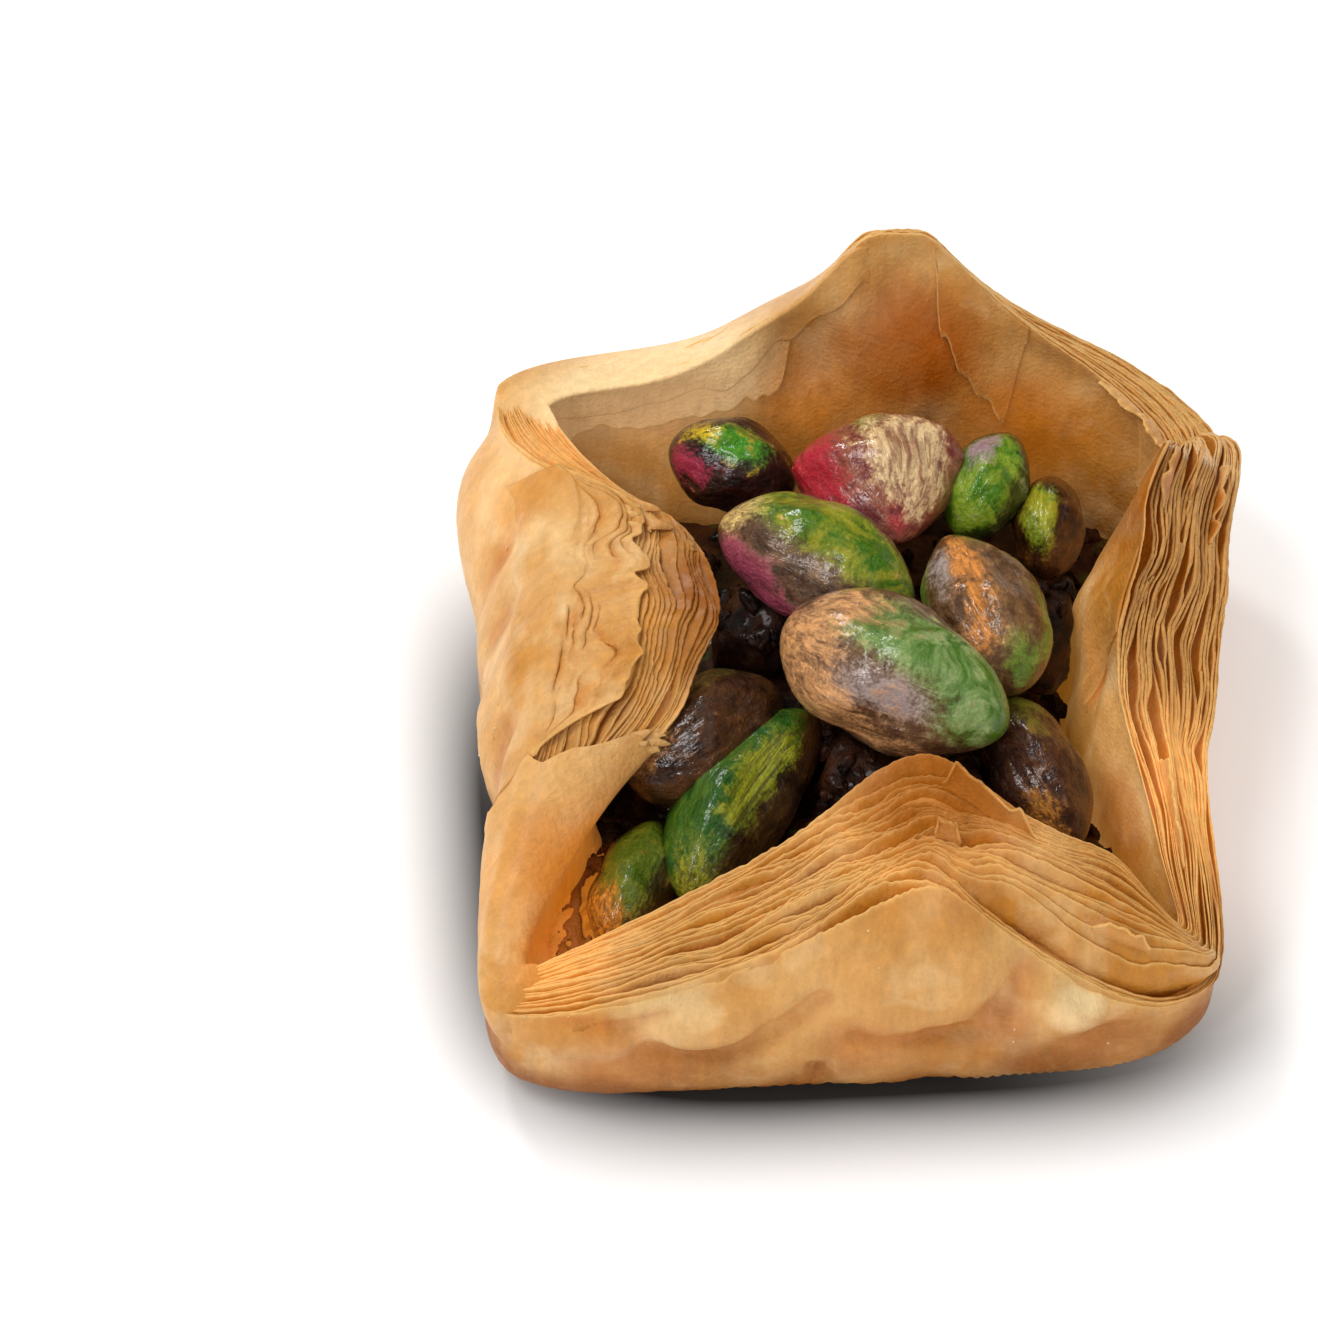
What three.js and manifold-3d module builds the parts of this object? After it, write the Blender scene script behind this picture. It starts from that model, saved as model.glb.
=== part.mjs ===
// A nest of baklava: a stack of filo sheets folded up on its four sides into peaked, leaning
// walls, with whole pistachio kernels heaped in the hollow.
// Millimetres, +Z up. The origin is on the plate, under the middle of the nest's box.
// The front is the side with the low, leaning peak (-Y).

import * as THREE from 'three';
import { mergeVertices } from 'three/addons/utils/BufferGeometryUtils.js';
import Module from 'manifold-3d';

const wasm = await Module();
wasm.setup();

// ---------------------------------------------------------------- driving dimensions

const FLOOR_THICK = 4.5;        // the flat stack of sheets under the kernels
const FOLD_RADIUS = 1.2;        // inner radius of the fold where a wall leaves the floor
const FOLD_SQUARENESS = 8;      // exponent of the floor's rounded square: higher is squarer
const FOOT_SQUARENESS = 3.2;    // the same for the section of the nest's lower edge
const PEAK_ROUNDING = 0.10;     // how blunt a wall's peak is, as a share of the wall's half width
const CORNER_REACH = 0.35;      // the share of a wall's half width that its corner doesn't move
const STACK_RUN = 4;            // how far past the fold the stack takes to reach a wall's thickness
const LEAVES = 9;               // terraces of sheet edges seen on a wall's top
const EDGE_STEP = 0.12;         // the least step from one terrace to the next
const EDGE_RAG = 0.35;          // unevenness of the terraces, as a share of one step
const RAG_WAVES = [             // each wave's share, its waves round the nest and turn per leaf
  { share: 1.0, around: 23, turn: 2.4 },
  { share: 0.7, around: 41, turn: -1.7 },
];
const FACE_SWELL = 0.35;        // height of the soft swells on the walls' faces
const SWELL_WAVES = [            // each swell's share, waves round the nest and radians up it
  { share: 1.0, around: 5, climb: 0.35 },
  { share: 0.6, around: 9, climb: -0.5 },
];
const CLIMB_START = 0.2;        // the share of a sheet's length over which a wall stays unswollen
const CLIMB_END = 0.87;         // and by which its swells and pleats are full
const GAP = 0.32;               // clearance that touching pieces keep
const OVER_RIM = 12;            // how far past the rim the space for the kernels is cut
const BED_GAP = 0.5;            // clearance round the bed, whose faces are coarser
const BED_LEVEL = 9.5;          // height of the packed kernels under those that show
const BED_RIM = 6.0;            // and their height along the walls
const BED_UNEVEN = 0.6;         // how far the bed's top rises and falls
const BED_MIDDLE = 0.55;        // how far out the bed stays high, as a share of its width

// Each wall, from the right round to the front. `fold` is how far its fold lies from the
// middle; the innermost sheet's edge at the peak stands `rise` high and `lean` outside its
// fold; `foot` is the angle in degrees at which the wall leaves its fold; `thick` is its stack
// of sheets, whose outermost edge lies `stagger` lower; the peak is off the middle by `shift`,
// has a level top of half width `flat` and falls away with the exponent `sharp`.
const WALLS = [
  {
    name: 'right', fold: 12.6, lean: 5.4, rise: 22.0, foot: 90,
    thick: 8.0, stagger: 4.2, shift: 0.52, flat: 0.08, sharp: 1.05,
  },
  {
    name: 'back', fold: 17.6, lean: 6.3, rise: 27.6, foot: 84,
    thick: 4.5, stagger: 3.5, shift: -0.24, flat: 0.05, sharp: 1.85,
  },
  {
    name: 'left', fold: 17.5, lean: -8.6, rise: 18.5, foot: 84,
    thick: 5.5, stagger: 5.5, shift: -0.32, flat: 0.25, sharp: 1.0,
  },
  {
    name: 'front', fold: 18.5, lean: -6.0, rise: 20.5, foot: 96,
    thick: 5.0, stagger: 6.0, shift: 0.16, flat: 0.0, sharp: 0.95,
  },
];

// Each corner between two walls, in the same order, and how far it is pushed in X and Y.
const CORNERS = [
  { name: 'back_right', push: [6.2, 1.3], lean: 3.0, rise: 14.2, foot: 76, thick: 6.6, stagger: 2.6 },
  { name: 'back_left', push: [-2.5, 2.2], lean: 0.5, rise: 19.0, foot: 84, thick: 3.4, stagger: 2.0 },
  { name: 'front_left', push: [-3.8, -1.3], lean: 2.2, rise: 10.8, foot: 78, thick: 2.6, stagger: 1.0 },
  { name: 'front_right', push: [4.4, -3.2], lean: 0.3, rise: 12.8, foot: 74, thick: 3.4, stagger: 2.0 },
];

// A pleat is spare sheet pinched out of a corner: where it is in degrees, how far the rim is
// drawn out in X, Y and Z, and the half angles of its inmost and outermost sheet.
const PLEATS = [
  { name: 'front_right', at: 313, draw: [1.7, -2.6, -2.8], inner: 3.4, outer: 10.0 },
  { name: 'front_left', at: 222, draw: [-0.5, -0.5, -0.6], inner: 6.0, outer: 10.0 },
];

// Where the inner sheets bunch up along the foot of a wall and narrow the hollow: the middle
// and half width in degrees, and how far the innermost sheet stands in at the fold.
const TUCKS = [
  { name: 'front_left', at: 216, half: 16, amount: 4.2 },
];

// Where the outermost leaves have slid down the stack: the middle and half width in degrees,
// the share of the stack's depth at which it starts, and how far the edges dropped.
const SLIPS = [
  { name: 'front_flap', at: 306, half: 16, depth: 0.72, drop: 3.6 },
  { name: 'left_slit', at: 176, half: 20, depth: 0.55, drop: 1.6 },
  { name: 'right_fall', at: 352, half: 26, depth: 0.45, drop: 1.5 },
];

// Each whole kernel, the uppermost first: its middle, its length, width and thickness, its
// yaw, pitch and roll in degrees, how much its far end narrows and how far it bends sideways.
const KERNELS = [
  {
    name: 'pistachio_centre', at: [1.9, -3.8, 17.5], size: [15.6, 9.4, 8.6],
    turn: [-32, -4, 10], taper: 0.14, bend: 0, colour: 0x7c8a45,
  },
  {
    name: 'pistachio_right', at: [8.0, 1.9, 16.2], size: [12.2, 7.6, 7.2],
    turn: [-72, -6, 0], taper: -0.20, bend: 0, colour: 0x86683f,
  },
  {
    name: 'pistachio_upper_left', at: [-2.2, 6.0, 17.0], size: [13.6, 7.9, 7.4],
    turn: [-30, -4, 0], taper: 0.05, bend: 0.4, colour: 0x6f7f35,
  },
  {
    name: 'pistachio_back', at: [2.4, 12.0, 16.9], size: [9.8, 10.2, 7.2],
    turn: [-82, 4, 0], taper: 0.38, bend: 0, colour: 0xa6755c,
  },
  {
    name: 'pistachio_back_green', at: [9.3, 13.0, 15.4], size: [7.8, 5.2, 5.8],
    turn: [58, 14, 0], taper: 0.10, bend: 0, colour: 0x6c8b2c,
  },
  {
    name: 'pistachio_back_left', at: [-6.9, 15.9, 15.0], size: [8.6, 6.0, 6.2],
    turn: [-22, -6, 0], taper: 0.0, bend: 0, colour: 0x6a3a35,
  },
  {
    name: 'pistachio_left', at: [-10.0, -4.1, 12.6], size: [11.6, 7.8, 7.4],
    turn: [34, 4, 0], taper: 0.10, bend: 0, colour: 0x54371d,
  },
  {
    name: 'pistachio_green', at: [-7.9, -8.4, 11.2], size: [15.4, 7.0, 7.0],
    turn: [54, 8, 0], taper: 0.0, bend: 0.9, colour: 0x4f7a1f,
  },
  {
    name: 'pistachio_lower_right', at: [10.5, -7.6, 12.0], size: [11.4, 5.9, 6.2],
    turn: [-66, -10, 0], taper: 0.05, bend: 0, colour: 0x523422,
  },
  {
    name: 'pistachio_back_right', at: [13.2, 11.0, 13.2], size: [7.2, 4.6, 5.8],
    turn: [82, 8, 0], taper: 0.0, bend: 0, colour: 0x6a4a22,
  },
  {
    name: 'pistachio_front_left', at: [-15.0, -12.8, 9.2], size: [9.2, 4.8, 5.2],
    turn: [66, 10, 0], taper: 0.12, bend: 0, colour: 0x6a6a1e,
  },
];

// Kernels that show only in the gaps. They are one with the bed.
const DEEP_KERNELS = [
  {
    name: 'deep_left', at: [-5.6, 5.6, 10.8], size: [8.4, 5.8, 6.0],
    turn: [50, 0, 0], taper: 0.0, bend: 0,
  },
  {
    name: 'deep_right', at: [12.2, 4.4, 10.2], size: [8.6, 5.4, 5.6],
    turn: [80, 0, 0], taper: 0.0, bend: 0,
  },
  {
    name: 'deep_front', at: [6.3, -8.3, 10.2], size: [7.6, 4.8, 5.2],
    turn: [80, 0, 0], taper: 0.0, bend: 0,
  },
  {
    name: 'deep_middle', at: [-0.4, -6.2, 10.2], size: [8.4, 5.6, 5.8],
    turn: [-60, 0, 0], taper: 0.0, bend: 0,
  },
];

const KERNEL_POINT = 0.14;      // how much a kernel's ends are drawn to a point
const KERNEL_KEEL = 0.07;       // height of the ridge along a kernel, as a share of its girth
const KEEL_WIDTH = 0.35;        // the keel's half width, in radians round the kernel
const KERNEL_LUMPS = 0.025;     // depth of its wrinkles, as a share of its girth
const LUMPS_ALONG = 6;          // how the wrinkles wind: radians for each half length
const LUMPS_AROUND = 3;         // and waves round the kernel

// How finely each piece is divided.
const STATIONS = 104;
const PLEAT_STATIONS = 2.2;     // how much closer the stations are at a pleat
const PLEAT_REACH = 9;          // and over how many degrees
const ANGLE_STEPS = 1440;       // steps in which the stations' spacing is worked out
const FOOT_STEPS = 5;
const OUTER_STEPS = 6;
const INNER_STEPS = 6;
const BED_STATIONS = 36;
const BED_STEPS = 4;
const BED_CROWDING = 1.3;       // how much closer its steps are at the fold
const HALVINGS = 30;            // steps in which a height is found on a sheet
const KERNEL_DETAIL = 3;
const DEEP_KERNEL_DETAIL = 2;

const PASTRY_COLOUR = 0xd9a766;
const BED_COLOUR = 0x3a2413;

// ------------------------------------------------------------------------- small helpers

const radians = THREE.MathUtils.degToRad;
const mix = THREE.MathUtils.lerp;

function ease(value) {
  const share = THREE.MathUtils.clamp(value, 0, 1);
  return share * share * (3 - 2 * share);
}

function bell(distance, width) {
  return Math.exp(-((distance / width) ** 2));
}

// The difference between two angles in degrees, from -180 to 180.
function turnBetween(angle, centre) {
  return THREE.MathUtils.euclideanModulo(angle - centre + 180, 360) - 180;
}

// --------------------------------------------------------------------- the walls' section

// How far up its peak a wall is, 1 at the peak and 0 at the corners, `across` running from
// -1 to 1 along the wall.
function peakShare(wall, across) {
  const side = across > wall.shift ? 1 : -1;
  const run = Math.abs(across - wall.shift) - wall.flat;
  const away = THREE.MathUtils.clamp(run / (1 - side * wall.shift - wall.flat), 0, 1);
  const sharpest = Math.sqrt(1 + PEAK_ROUNDING ** 2) - PEAK_ROUNDING;
  const fall = (Math.sqrt(away * away + PEAK_ROUNDING ** 2) - PEAK_ROUNDING) / sharpest;
  return THREE.MathUtils.clamp(1 - fall, 0, 1) ** wall.sharp;
}

// The section of the nest in the direction `degrees`, which is 0 to the right (+X).
function sectionAt(degrees) {
  const theta = radians(degrees);
  const side = THREE.MathUtils.euclideanModulo(Math.floor((degrees + 45) / 90), 4);
  const wall = WALLS[side];
  const before = CORNERS[(side + 3) % 4];
  const after = CORNERS[side];
  const turn = turnBetween(degrees, side * 90);
  const across = Math.tan(radians(turn));
  const peak = peakShare(wall, across);
  const broadPeak = 1 - (1 - peak) ** 2;
  const blend = (key, share) => {
    const corner = mix(before[key], after[key], ease((across + 1) / 2));
    return mix(corner, wall[key], share);
  };
  const halfX = Math.cos(theta) > 0 ? WALLS[0].fold : WALLS[2].fold;
  const halfY = Math.sin(theta) > 0 ? WALLS[1].fold : WALLS[3].fold;
  const squareX = Math.abs(Math.cos(theta) / halfX) ** FOLD_SQUARENESS;
  const squareY = Math.abs(Math.sin(theta) / halfY) ** FOLD_SQUARENESS;
  const corner = across < 0 ? before : after;
  const cornerShare = ease((Math.abs(across) - CORNER_REACH) / (1 - CORNER_REACH));
  const section = {
    degrees,
    theta,
    heading: radians(side * 90 + turn * ease(Math.abs(across))),
    fold: (squareX + squareY) ** (-1 / FOLD_SQUARENESS),
    lean: blend('lean', peak),
    rise: blend('rise', peak),
    foot: radians(blend('foot', peak)),
    thick: blend('thick', broadPeak),
    stagger: blend('stagger', broadPeak),
    push: corner.push.map((amount) => amount * cornerShare),
  };
  // The wall is one arc from the end of its fold to its rim.
  section.arc = FOLD_RADIUS * section.foot;
  const run = section.lean - FOLD_RADIUS * Math.sin(section.foot);
  const climb = section.rise - FLOOR_THICK - FOLD_RADIUS * (1 - Math.cos(section.foot));
  section.half = Math.atan2(climb, run) - section.foot;
  section.length = Math.hypot(run, climb) * section.half / Math.sin(section.half);
  section.total = section.arc + section.length;
  return section;
}

// The stack's thickness at `travel` millimetres up the sheet from the start of the fold.
function stackAt(section, travel) {
  return mix(FLOOR_THICK, section.thick, ease(travel / (section.arc + STACK_RUN)));
}

// How far the innermost sheet stands in from the wall's stack.
function tuckAt(section, travel) {
  let tuck = 0;
  for (const each of TUCKS) {
    const near = bell(turnBetween(section.degrees, each.at), each.half);
    tuck += each.amount * near * ease(1 - travel / section.total);
  }
  return tuck;
}

// A point of a section: `travel` up the innermost sheet from the start of its fold,
// `stackDepth` outside that sheet's face, `layer` 0 for the innermost sheet and 1 for the outermost.
function sheetPoint(section, travel, stackDepth, layer) {
  const depth = stackDepth - tuckAt(section, travel) * (1 - layer) ** 2;
  const { theta, heading, fold, foot, arc, half, length } = section;
  let angle = travel / FOLD_RADIUS;
  let out = FOLD_RADIUS * Math.sin(angle);
  let up = FLOOR_THICK + FOLD_RADIUS * (1 - Math.cos(angle));
  if (travel > arc) {
    const bendRadius = length / (2 * half);
    angle = foot + (travel - arc) / bendRadius;
    out = FOLD_RADIUS * Math.sin(foot) + bendRadius * (Math.sin(angle) - Math.sin(foot));
    up = FLOOR_THICK + FOLD_RADIUS * (1 - Math.cos(foot));
    up += bendRadius * (Math.cos(foot) - Math.cos(angle));
  }
  const sine = Math.sin(angle);
  const cosine = Math.cos(angle);
  const power = FOOT_SQUARENESS;
  const corner = (Math.abs(sine) ** power + Math.abs(cosine) ** power) ** (-1 / power);
  const square = angle < Math.PI / 2 && depth > 0 ? corner : 1;
  const climb = ease((travel / section.total - CLIMB_START) / (CLIMB_END - CLIMB_START));
  let swell = 0;
  for (const wave of SWELL_WAVES) {
    swell += FACE_SWELL * climb * wave.share * Math.sin(wave.around * theta + wave.climb * travel);
  }
  const outward = out + depth * sine * square + swell;
  const point = new THREE.Vector3(
    fold * Math.cos(theta) + outward * Math.cos(heading) + section.push[0],
    fold * Math.sin(theta) + outward * Math.sin(heading) + section.push[1],
    up - depth * cosine * square,
  );
  for (const pleat of PLEATS) {
    const width = mix(pleat.inner, pleat.outer, layer);
    const pull = bell(turnBetween(section.degrees, pleat.at), width) * climb;
    point.addScaledVector(new THREE.Vector3(...pleat.draw), pull);
  }
  return point;
}

// How far up its sheet each terrace of edges ends, the outermost first.
function leafEnds(section) {
  const ends = [];
  const step = section.stagger / (LEAVES - 1);
  for (let leaf = LEAVES - 1; leaf >= 0; leaf -= 1) {
    const layer = 1 - leaf / (LEAVES - 1);
    let end = section.total - section.stagger * layer;
    for (const wave of RAG_WAVES) {
      end += EDGE_RAG * step * wave.share * Math.sin(wave.around * section.theta + wave.turn * leaf);
    }
    for (const slip of SLIPS) {
      const slid = ease((layer - slip.depth) / (1 - slip.depth) * 2);
      end -= slip.drop * slid * bell(turnBetween(section.degrees, slip.at), slip.half);
    }
    if (ends.length > 0) {
      end = Math.min(end, ends[0] - EDGE_STEP);
    }
    ends.unshift(end);
  }
  return ends;
}

// ------------------------------------------------------------------------------ meshes

// A closed geometry from rings of points round the nest, each running from under the middle
// out, up and back in over the top, with one point at each end for all of them.
function loftGeometry(rings, start, finish) {
  const count = rings[0].length;
  const points = [...rings.flat(), start, finish];
  const startIndex = points.length - 2;
  const finishIndex = points.length - 1;
  const index = [];
  rings.forEach((ring, here) => {
    const a = here * count;
    const b = ((here + 1) % rings.length) * count;
    for (let j = 0; j < count - 1; j += 1) {
      index.push(a + j, b + j, b + j + 1);
      index.push(a + j, b + j + 1, a + j + 1);
    }
    index.push(startIndex, b, a);
    index.push(finishIndex, a + count - 1, b + count - 1);
  });
  const geometry = new THREE.BufferGeometry().setFromPoints(points);
  geometry.setIndex(index);
  return geometry;
}

// The stations' angles in degrees, closer together where a pleat turns sharply.
function stationAngles(count) {
  const sums = [0];
  for (let i = 0; i < ANGLE_STEPS; i += 1) {
    const degrees = (i + 0.5) * 360 / ANGLE_STEPS;
    let density = 1;
    for (const pleat of PLEATS) {
      density += PLEAT_STATIONS * bell(turnBetween(degrees, pleat.at), PLEAT_REACH);
    }
    sums.push(sums[i] + density);
  }
  const angles = [];
  let cursor = 0;
  for (let station = 0; station < count; station += 1) {
    const wanted = station / count * sums[ANGLE_STEPS];
    while (sums[cursor + 1] <= wanted) {
      cursor += 1;
    }
    const share = (wanted - sums[cursor]) / (sums[cursor + 1] - sums[cursor]);
    angles.push((cursor + share) * 360 / ANGLE_STEPS);
  }
  return angles;
}

// The profile of the whole stack in one direction.
function nestRing(degrees) {
  const section = sectionAt(degrees);
  const ends = leafEnds(section);
  const at = (travel, layer) => sheetPoint(section, travel, layer * stackAt(section, travel), layer);
  const ring = [];
  for (let i = 0; i <= FOOT_STEPS; i += 1) {
    ring.push(at(section.arc * i / FOOT_STEPS, 1));
  }
  for (let i = 1; i < OUTER_STEPS; i += 1) {
    ring.push(at(mix(section.arc, ends[0], i / OUTER_STEPS), 1));
  }
  ends.forEach((end, leaf) => {
    ring.push(at(end, 1 - leaf / LEAVES));
    ring.push(at(end, 1 - (leaf + 1) / LEAVES));
  });
  for (let i = INNER_STEPS - 1; i >= 1; i -= 1) {
    ring.push(at(mix(section.arc, ends[LEAVES - 1], i / INNER_STEPS), 0));
  }
  ring.push(at(section.arc, 0));
  ring.push(at(section.arc / 2, 0));
  ring.push(at(0, 0));
  return ring;
}

function nestGeometry() {
  const rings = stationAngles(STATIONS).map(nestRing);
  return loftGeometry(rings, new THREE.Vector3(0, 0, 0), new THREE.Vector3(0, 0, FLOOR_THICK));
}

// The hollow of the nest, smaller by `gap`, up to the height `level` or, without one, past
// the rim by `above`.
function hollowGeometry(count, gap, level, above) {
  const rings = [];
  for (const degrees of stationAngles(count)) {
    const section = sectionAt(degrees);
    const top = level === undefined ? section.total : heightTravel(section, level);
    const ring = [];
    for (let i = 0; i <= BED_STEPS; i += 1) {
      ring.push(sheetPoint(section, mix(0, top, (i / BED_STEPS) ** BED_CROWDING), -gap, 0));
    }
    if (above) {
      ring.push(ring[BED_STEPS].clone().add(new THREE.Vector3(0, 0, above)));
    } else {
      ring.push(unevenPoint(ring[BED_STEPS], BED_MIDDLE, section));
    }
    rings.push(ring);
  }
  const bottom = new THREE.Vector3(0, 0, FLOOR_THICK + gap);
  const top = new THREE.Vector3(0, 0, above ? WALLS[1].rise + above : BED_LEVEL);
  return loftGeometry(rings, bottom, top);
}

// A point of the bed's rough top, at `share` of the way out to its rim.
function unevenPoint(rim, share, section) {
  const lift = BED_UNEVEN * Math.sin(4 * section.theta + 1.2);
  return new THREE.Vector3(rim.x * share, rim.y * share, BED_LEVEL + lift);
}

// How far up its sheet a section reaches a height.
function heightTravel(section, level) {
  let low = 0;
  let high = section.total;
  for (let i = 0; i < HALVINGS; i += 1) {
    const middle = (low + high) / 2;
    if (sheetPoint(section, middle, 0, 0).z < level) {
      low = middle;
    } else {
      high = middle;
    }
  }
  return low;
}

// A kernel along X: an egg-shaped body drawn to a point at both ends, with a keel along its
// upper side, soft wrinkles and a sideways bend. `grow` is added all round.
function kernelGeometry(kernel, detail, grow) {
  const geometry = new THREE.IcosahedronGeometry(1, detail);
  geometry.deleteAttribute('normal');
  geometry.deleteAttribute('uv');
  const [length, width, thick] = kernel.size;
  const position = geometry.getAttribute('position');
  for (let i = 0; i < position.count; i += 1) {
    const along = position.getX(i);
    const around = Math.atan2(position.getZ(i), position.getY(i));
    const body = 1 - along * along;
    const keel = KERNEL_KEEL * body * bell(around - Math.PI / 2, KEEL_WIDTH);
    const wind = LUMPS_ALONG * along + LUMPS_AROUND * around + kernel.at[0];
    const lumps = KERNEL_LUMPS * body * Math.sin(wind);
    const girth = (1 - kernel.taper * along) * (1 - KERNEL_POINT * along ** 4) * (1 + keel + lumps);
    const bend = kernel.bend * (body - 0.5);
    position.setXYZ(
      i,
      along * (length / 2 + grow),
      position.getY(i) * girth * (width / 2 + grow) + bend,
      position.getZ(i) * girth * (thick / 2 + grow),
    );
  }
  return mergeVertices(geometry, 1e-5);
}

function kernelPlace(kernel) {
  const [yaw, pitch, roll] = kernel.turn.map(radians);
  const turn = new THREE.Quaternion().setFromEuler(new THREE.Euler(roll, -pitch, yaw, 'ZYX'));
  return new THREE.Matrix4().compose(new THREE.Vector3(...kernel.at), turn, new THREE.Vector3(1, 1, 1));
}

// ---------------------------------------------------------------------------- cut and join

function solidOf(geometry) {
  const vertProperties = new Float32Array(geometry.getAttribute('position').array);
  const triVerts = new Uint32Array(geometry.getIndex().array);
  return new wasm.Manifold(new wasm.Mesh({ numProp: 3, vertProperties, triVerts }));
}

function geometryOf(solid) {
  const mesh = solid.getMesh();
  const geometry = new THREE.BufferGeometry();
  geometry.setAttribute('position', new THREE.BufferAttribute(Float32Array.from(mesh.vertProperties), 3));
  geometry.setIndex(new THREE.BufferAttribute(Uint32Array.from(mesh.triVerts), 1));
  return geometry;
}

// A cut can leave loose scraps: only the main piece is kept.
function largestOf(solid) {
  const parts = solid.decompose();
  return parts.reduce((best, part) => (part.volume() > best.volume() ? part : best));
}

function kernelSolid(kernel, detail, grow = 0) {
  return solidOf(kernelGeometry(kernel, detail, grow).applyMatrix4(kernelPlace(kernel)));
}

// Each kernel is pressed into shape by those above it and by the walls.
function kernelMesh(kernel, order, hollow) {
  let solid = kernelSolid(kernel, KERNEL_DETAIL).intersect(hollow);
  for (const upper of KERNELS.slice(0, order)) {
    solid = solid.subtract(kernelSolid(upper, KERNEL_DETAIL, GAP));
  }
  const place = kernelPlace(kernel);
  const mesh = pieceMesh(kernel.name, geometryOf(solid).applyMatrix4(place.clone().invert()), {
    color: kernel.colour,
    roughness: 0.45,
  });
  mesh.applyMatrix4(place);
  return mesh;
}

// The packed kernels under those that show, with the deep ones that show in the gaps.
function bedMesh(hollow) {
  let solid = solidOf(hollowGeometry(BED_STATIONS, BED_GAP, BED_RIM, 0));
  for (const deep of DEEP_KERNELS) {
    solid = solid.add(kernelSolid(deep, DEEP_KERNEL_DETAIL).intersect(hollow));
  }
  for (const upper of KERNELS) {
    solid = solid.subtract(kernelSolid(upper, DEEP_KERNEL_DETAIL, BED_GAP));
  }
  return pieceMesh('nut_bed', geometryOf(largestOf(solid)), { color: BED_COLOUR, roughness: 0.5 });
}

function pieceMesh(name, geometry, looks) {
  const material = new THREE.MeshStandardMaterial({ metalness: 0, ...looks });
  const mesh = new THREE.Mesh(geometry, material);
  mesh.name = name;
  return mesh;
}

// ------------------------------------------------------------------------------ the nest

const nest = new THREE.Group();
const pastry = pieceMesh('filo_nest', nestGeometry(), { color: PASTRY_COLOUR, roughness: 0.55 });
const hollow = solidOf(hollowGeometry(STATIONS, GAP, undefined, OVER_RIM));
nest.add(pastry);
nest.add(bedMesh(hollow));
KERNELS.forEach((kernel, order) => nest.add(kernelMesh(kernel, order, hollow)));

// The origin lies under the middle of the nest's box.
const box = new THREE.Box3().setFromObject(nest);
const middle = box.getCenter(new THREE.Vector3());
nest.position.set(-middle.x, -middle.y, -box.min.z);

export default nest;
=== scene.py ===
"""A nest of baklava: paper-thin filo sheets folded up into four peaked walls round a heap of
syrup-glazed pistachio kernels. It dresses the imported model, which stays the fixed frame."""

import math

import bmesh
import bpy
import numpy as np
from mathutils import Matrix, Vector


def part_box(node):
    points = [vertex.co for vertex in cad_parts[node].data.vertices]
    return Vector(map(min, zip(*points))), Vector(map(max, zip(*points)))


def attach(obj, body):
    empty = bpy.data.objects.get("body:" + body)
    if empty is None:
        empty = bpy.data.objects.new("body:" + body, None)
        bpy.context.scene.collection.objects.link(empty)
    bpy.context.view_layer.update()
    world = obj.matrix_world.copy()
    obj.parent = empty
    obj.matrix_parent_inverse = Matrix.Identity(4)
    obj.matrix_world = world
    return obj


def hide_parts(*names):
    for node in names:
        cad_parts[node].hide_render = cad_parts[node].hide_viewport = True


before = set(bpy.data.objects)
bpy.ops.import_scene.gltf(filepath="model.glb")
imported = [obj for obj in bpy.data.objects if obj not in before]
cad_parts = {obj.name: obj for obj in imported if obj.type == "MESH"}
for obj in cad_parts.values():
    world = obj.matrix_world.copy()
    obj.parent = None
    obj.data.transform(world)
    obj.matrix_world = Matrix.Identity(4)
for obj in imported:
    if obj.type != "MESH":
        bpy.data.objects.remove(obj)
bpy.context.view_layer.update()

bl_info = {
    "name": "Baklava nest",
    "version": (1, 0, 0),
    "blender": (4, 5, 0),
    "location": "3D View > Sidebar > Baklava",
    "description": "Makes a filo nest filled with whole pistachio kernels",
    "category": "Add Mesh",
}

MM = 0.001
TAU = 2 * math.pi


def table(keys, *rows):
    """Each row of values as a dict with the same keys."""
    return tuple(dict(zip(keys.split(), row)) for row in rows)


# ------------------------------------------------------------------ the nest's driving sizes
# Millimetres and degrees. The walls' numbers are those of the construction model.

FLOOR_THICK = 4.5       # the flat stack of sheets under the kernels
FOLD_RADIUS = 1.2       # inner radius of the fold where a wall leaves the floor
FOLD_SQUARENESS = 8     # exponent of the floor's rounded square
FOOT_SQUARENESS = 3.2   # the same for the section of the nest's lower edge
PEAK_ROUNDING = 0.10    # how blunt a wall's peak is, as a share of its half width
CORNER_REACH = 0.35     # the share of a wall's half width that its corner doesn't move
FACE_SWELL = 0.35       # height of the soft swells on the walls' faces

# From the right round to the front: where the wall folds, how far its edge leans out, how high
# it stands, the angle it leaves the fold at, its stack, how much lower its outermost edge lies,
# and where its peak is, how broad and how sharp.
WALLS = table(
    "fold lean rise foot thick stagger shift flat sharp",
    (12.6, 5.4, 22.0, 90, 8.0, 4.2, 0.52, 0.08, 1.05),
    (17.6, 6.3, 27.6, 84, 4.5, 3.5, -0.24, 0.05, 1.85),
    (17.5, -8.6, 18.5, 84, 5.5, 5.5, -0.32, 0.25, 1.0),
    (18.5, -6.0, 20.5, 96, 5.0, 6.0, 0.16, 0.0, 0.95),
)
# The corners between them, in the same order, and how far each is pushed in X and Y.
CORNERS = table(
    "push lean rise foot thick stagger",
    ((6.2, 1.3), 3.0, 14.2, 76, 6.6, 2.6), ((-2.5, 2.2), 0.5, 19.0, 84, 3.4, 2.0),
    ((-3.8, -1.3), 2.2, 10.8, 78, 2.6, 1.0), ((4.4, -3.2), 0.3, 12.8, 74, 3.4, 2.0),
)
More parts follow.
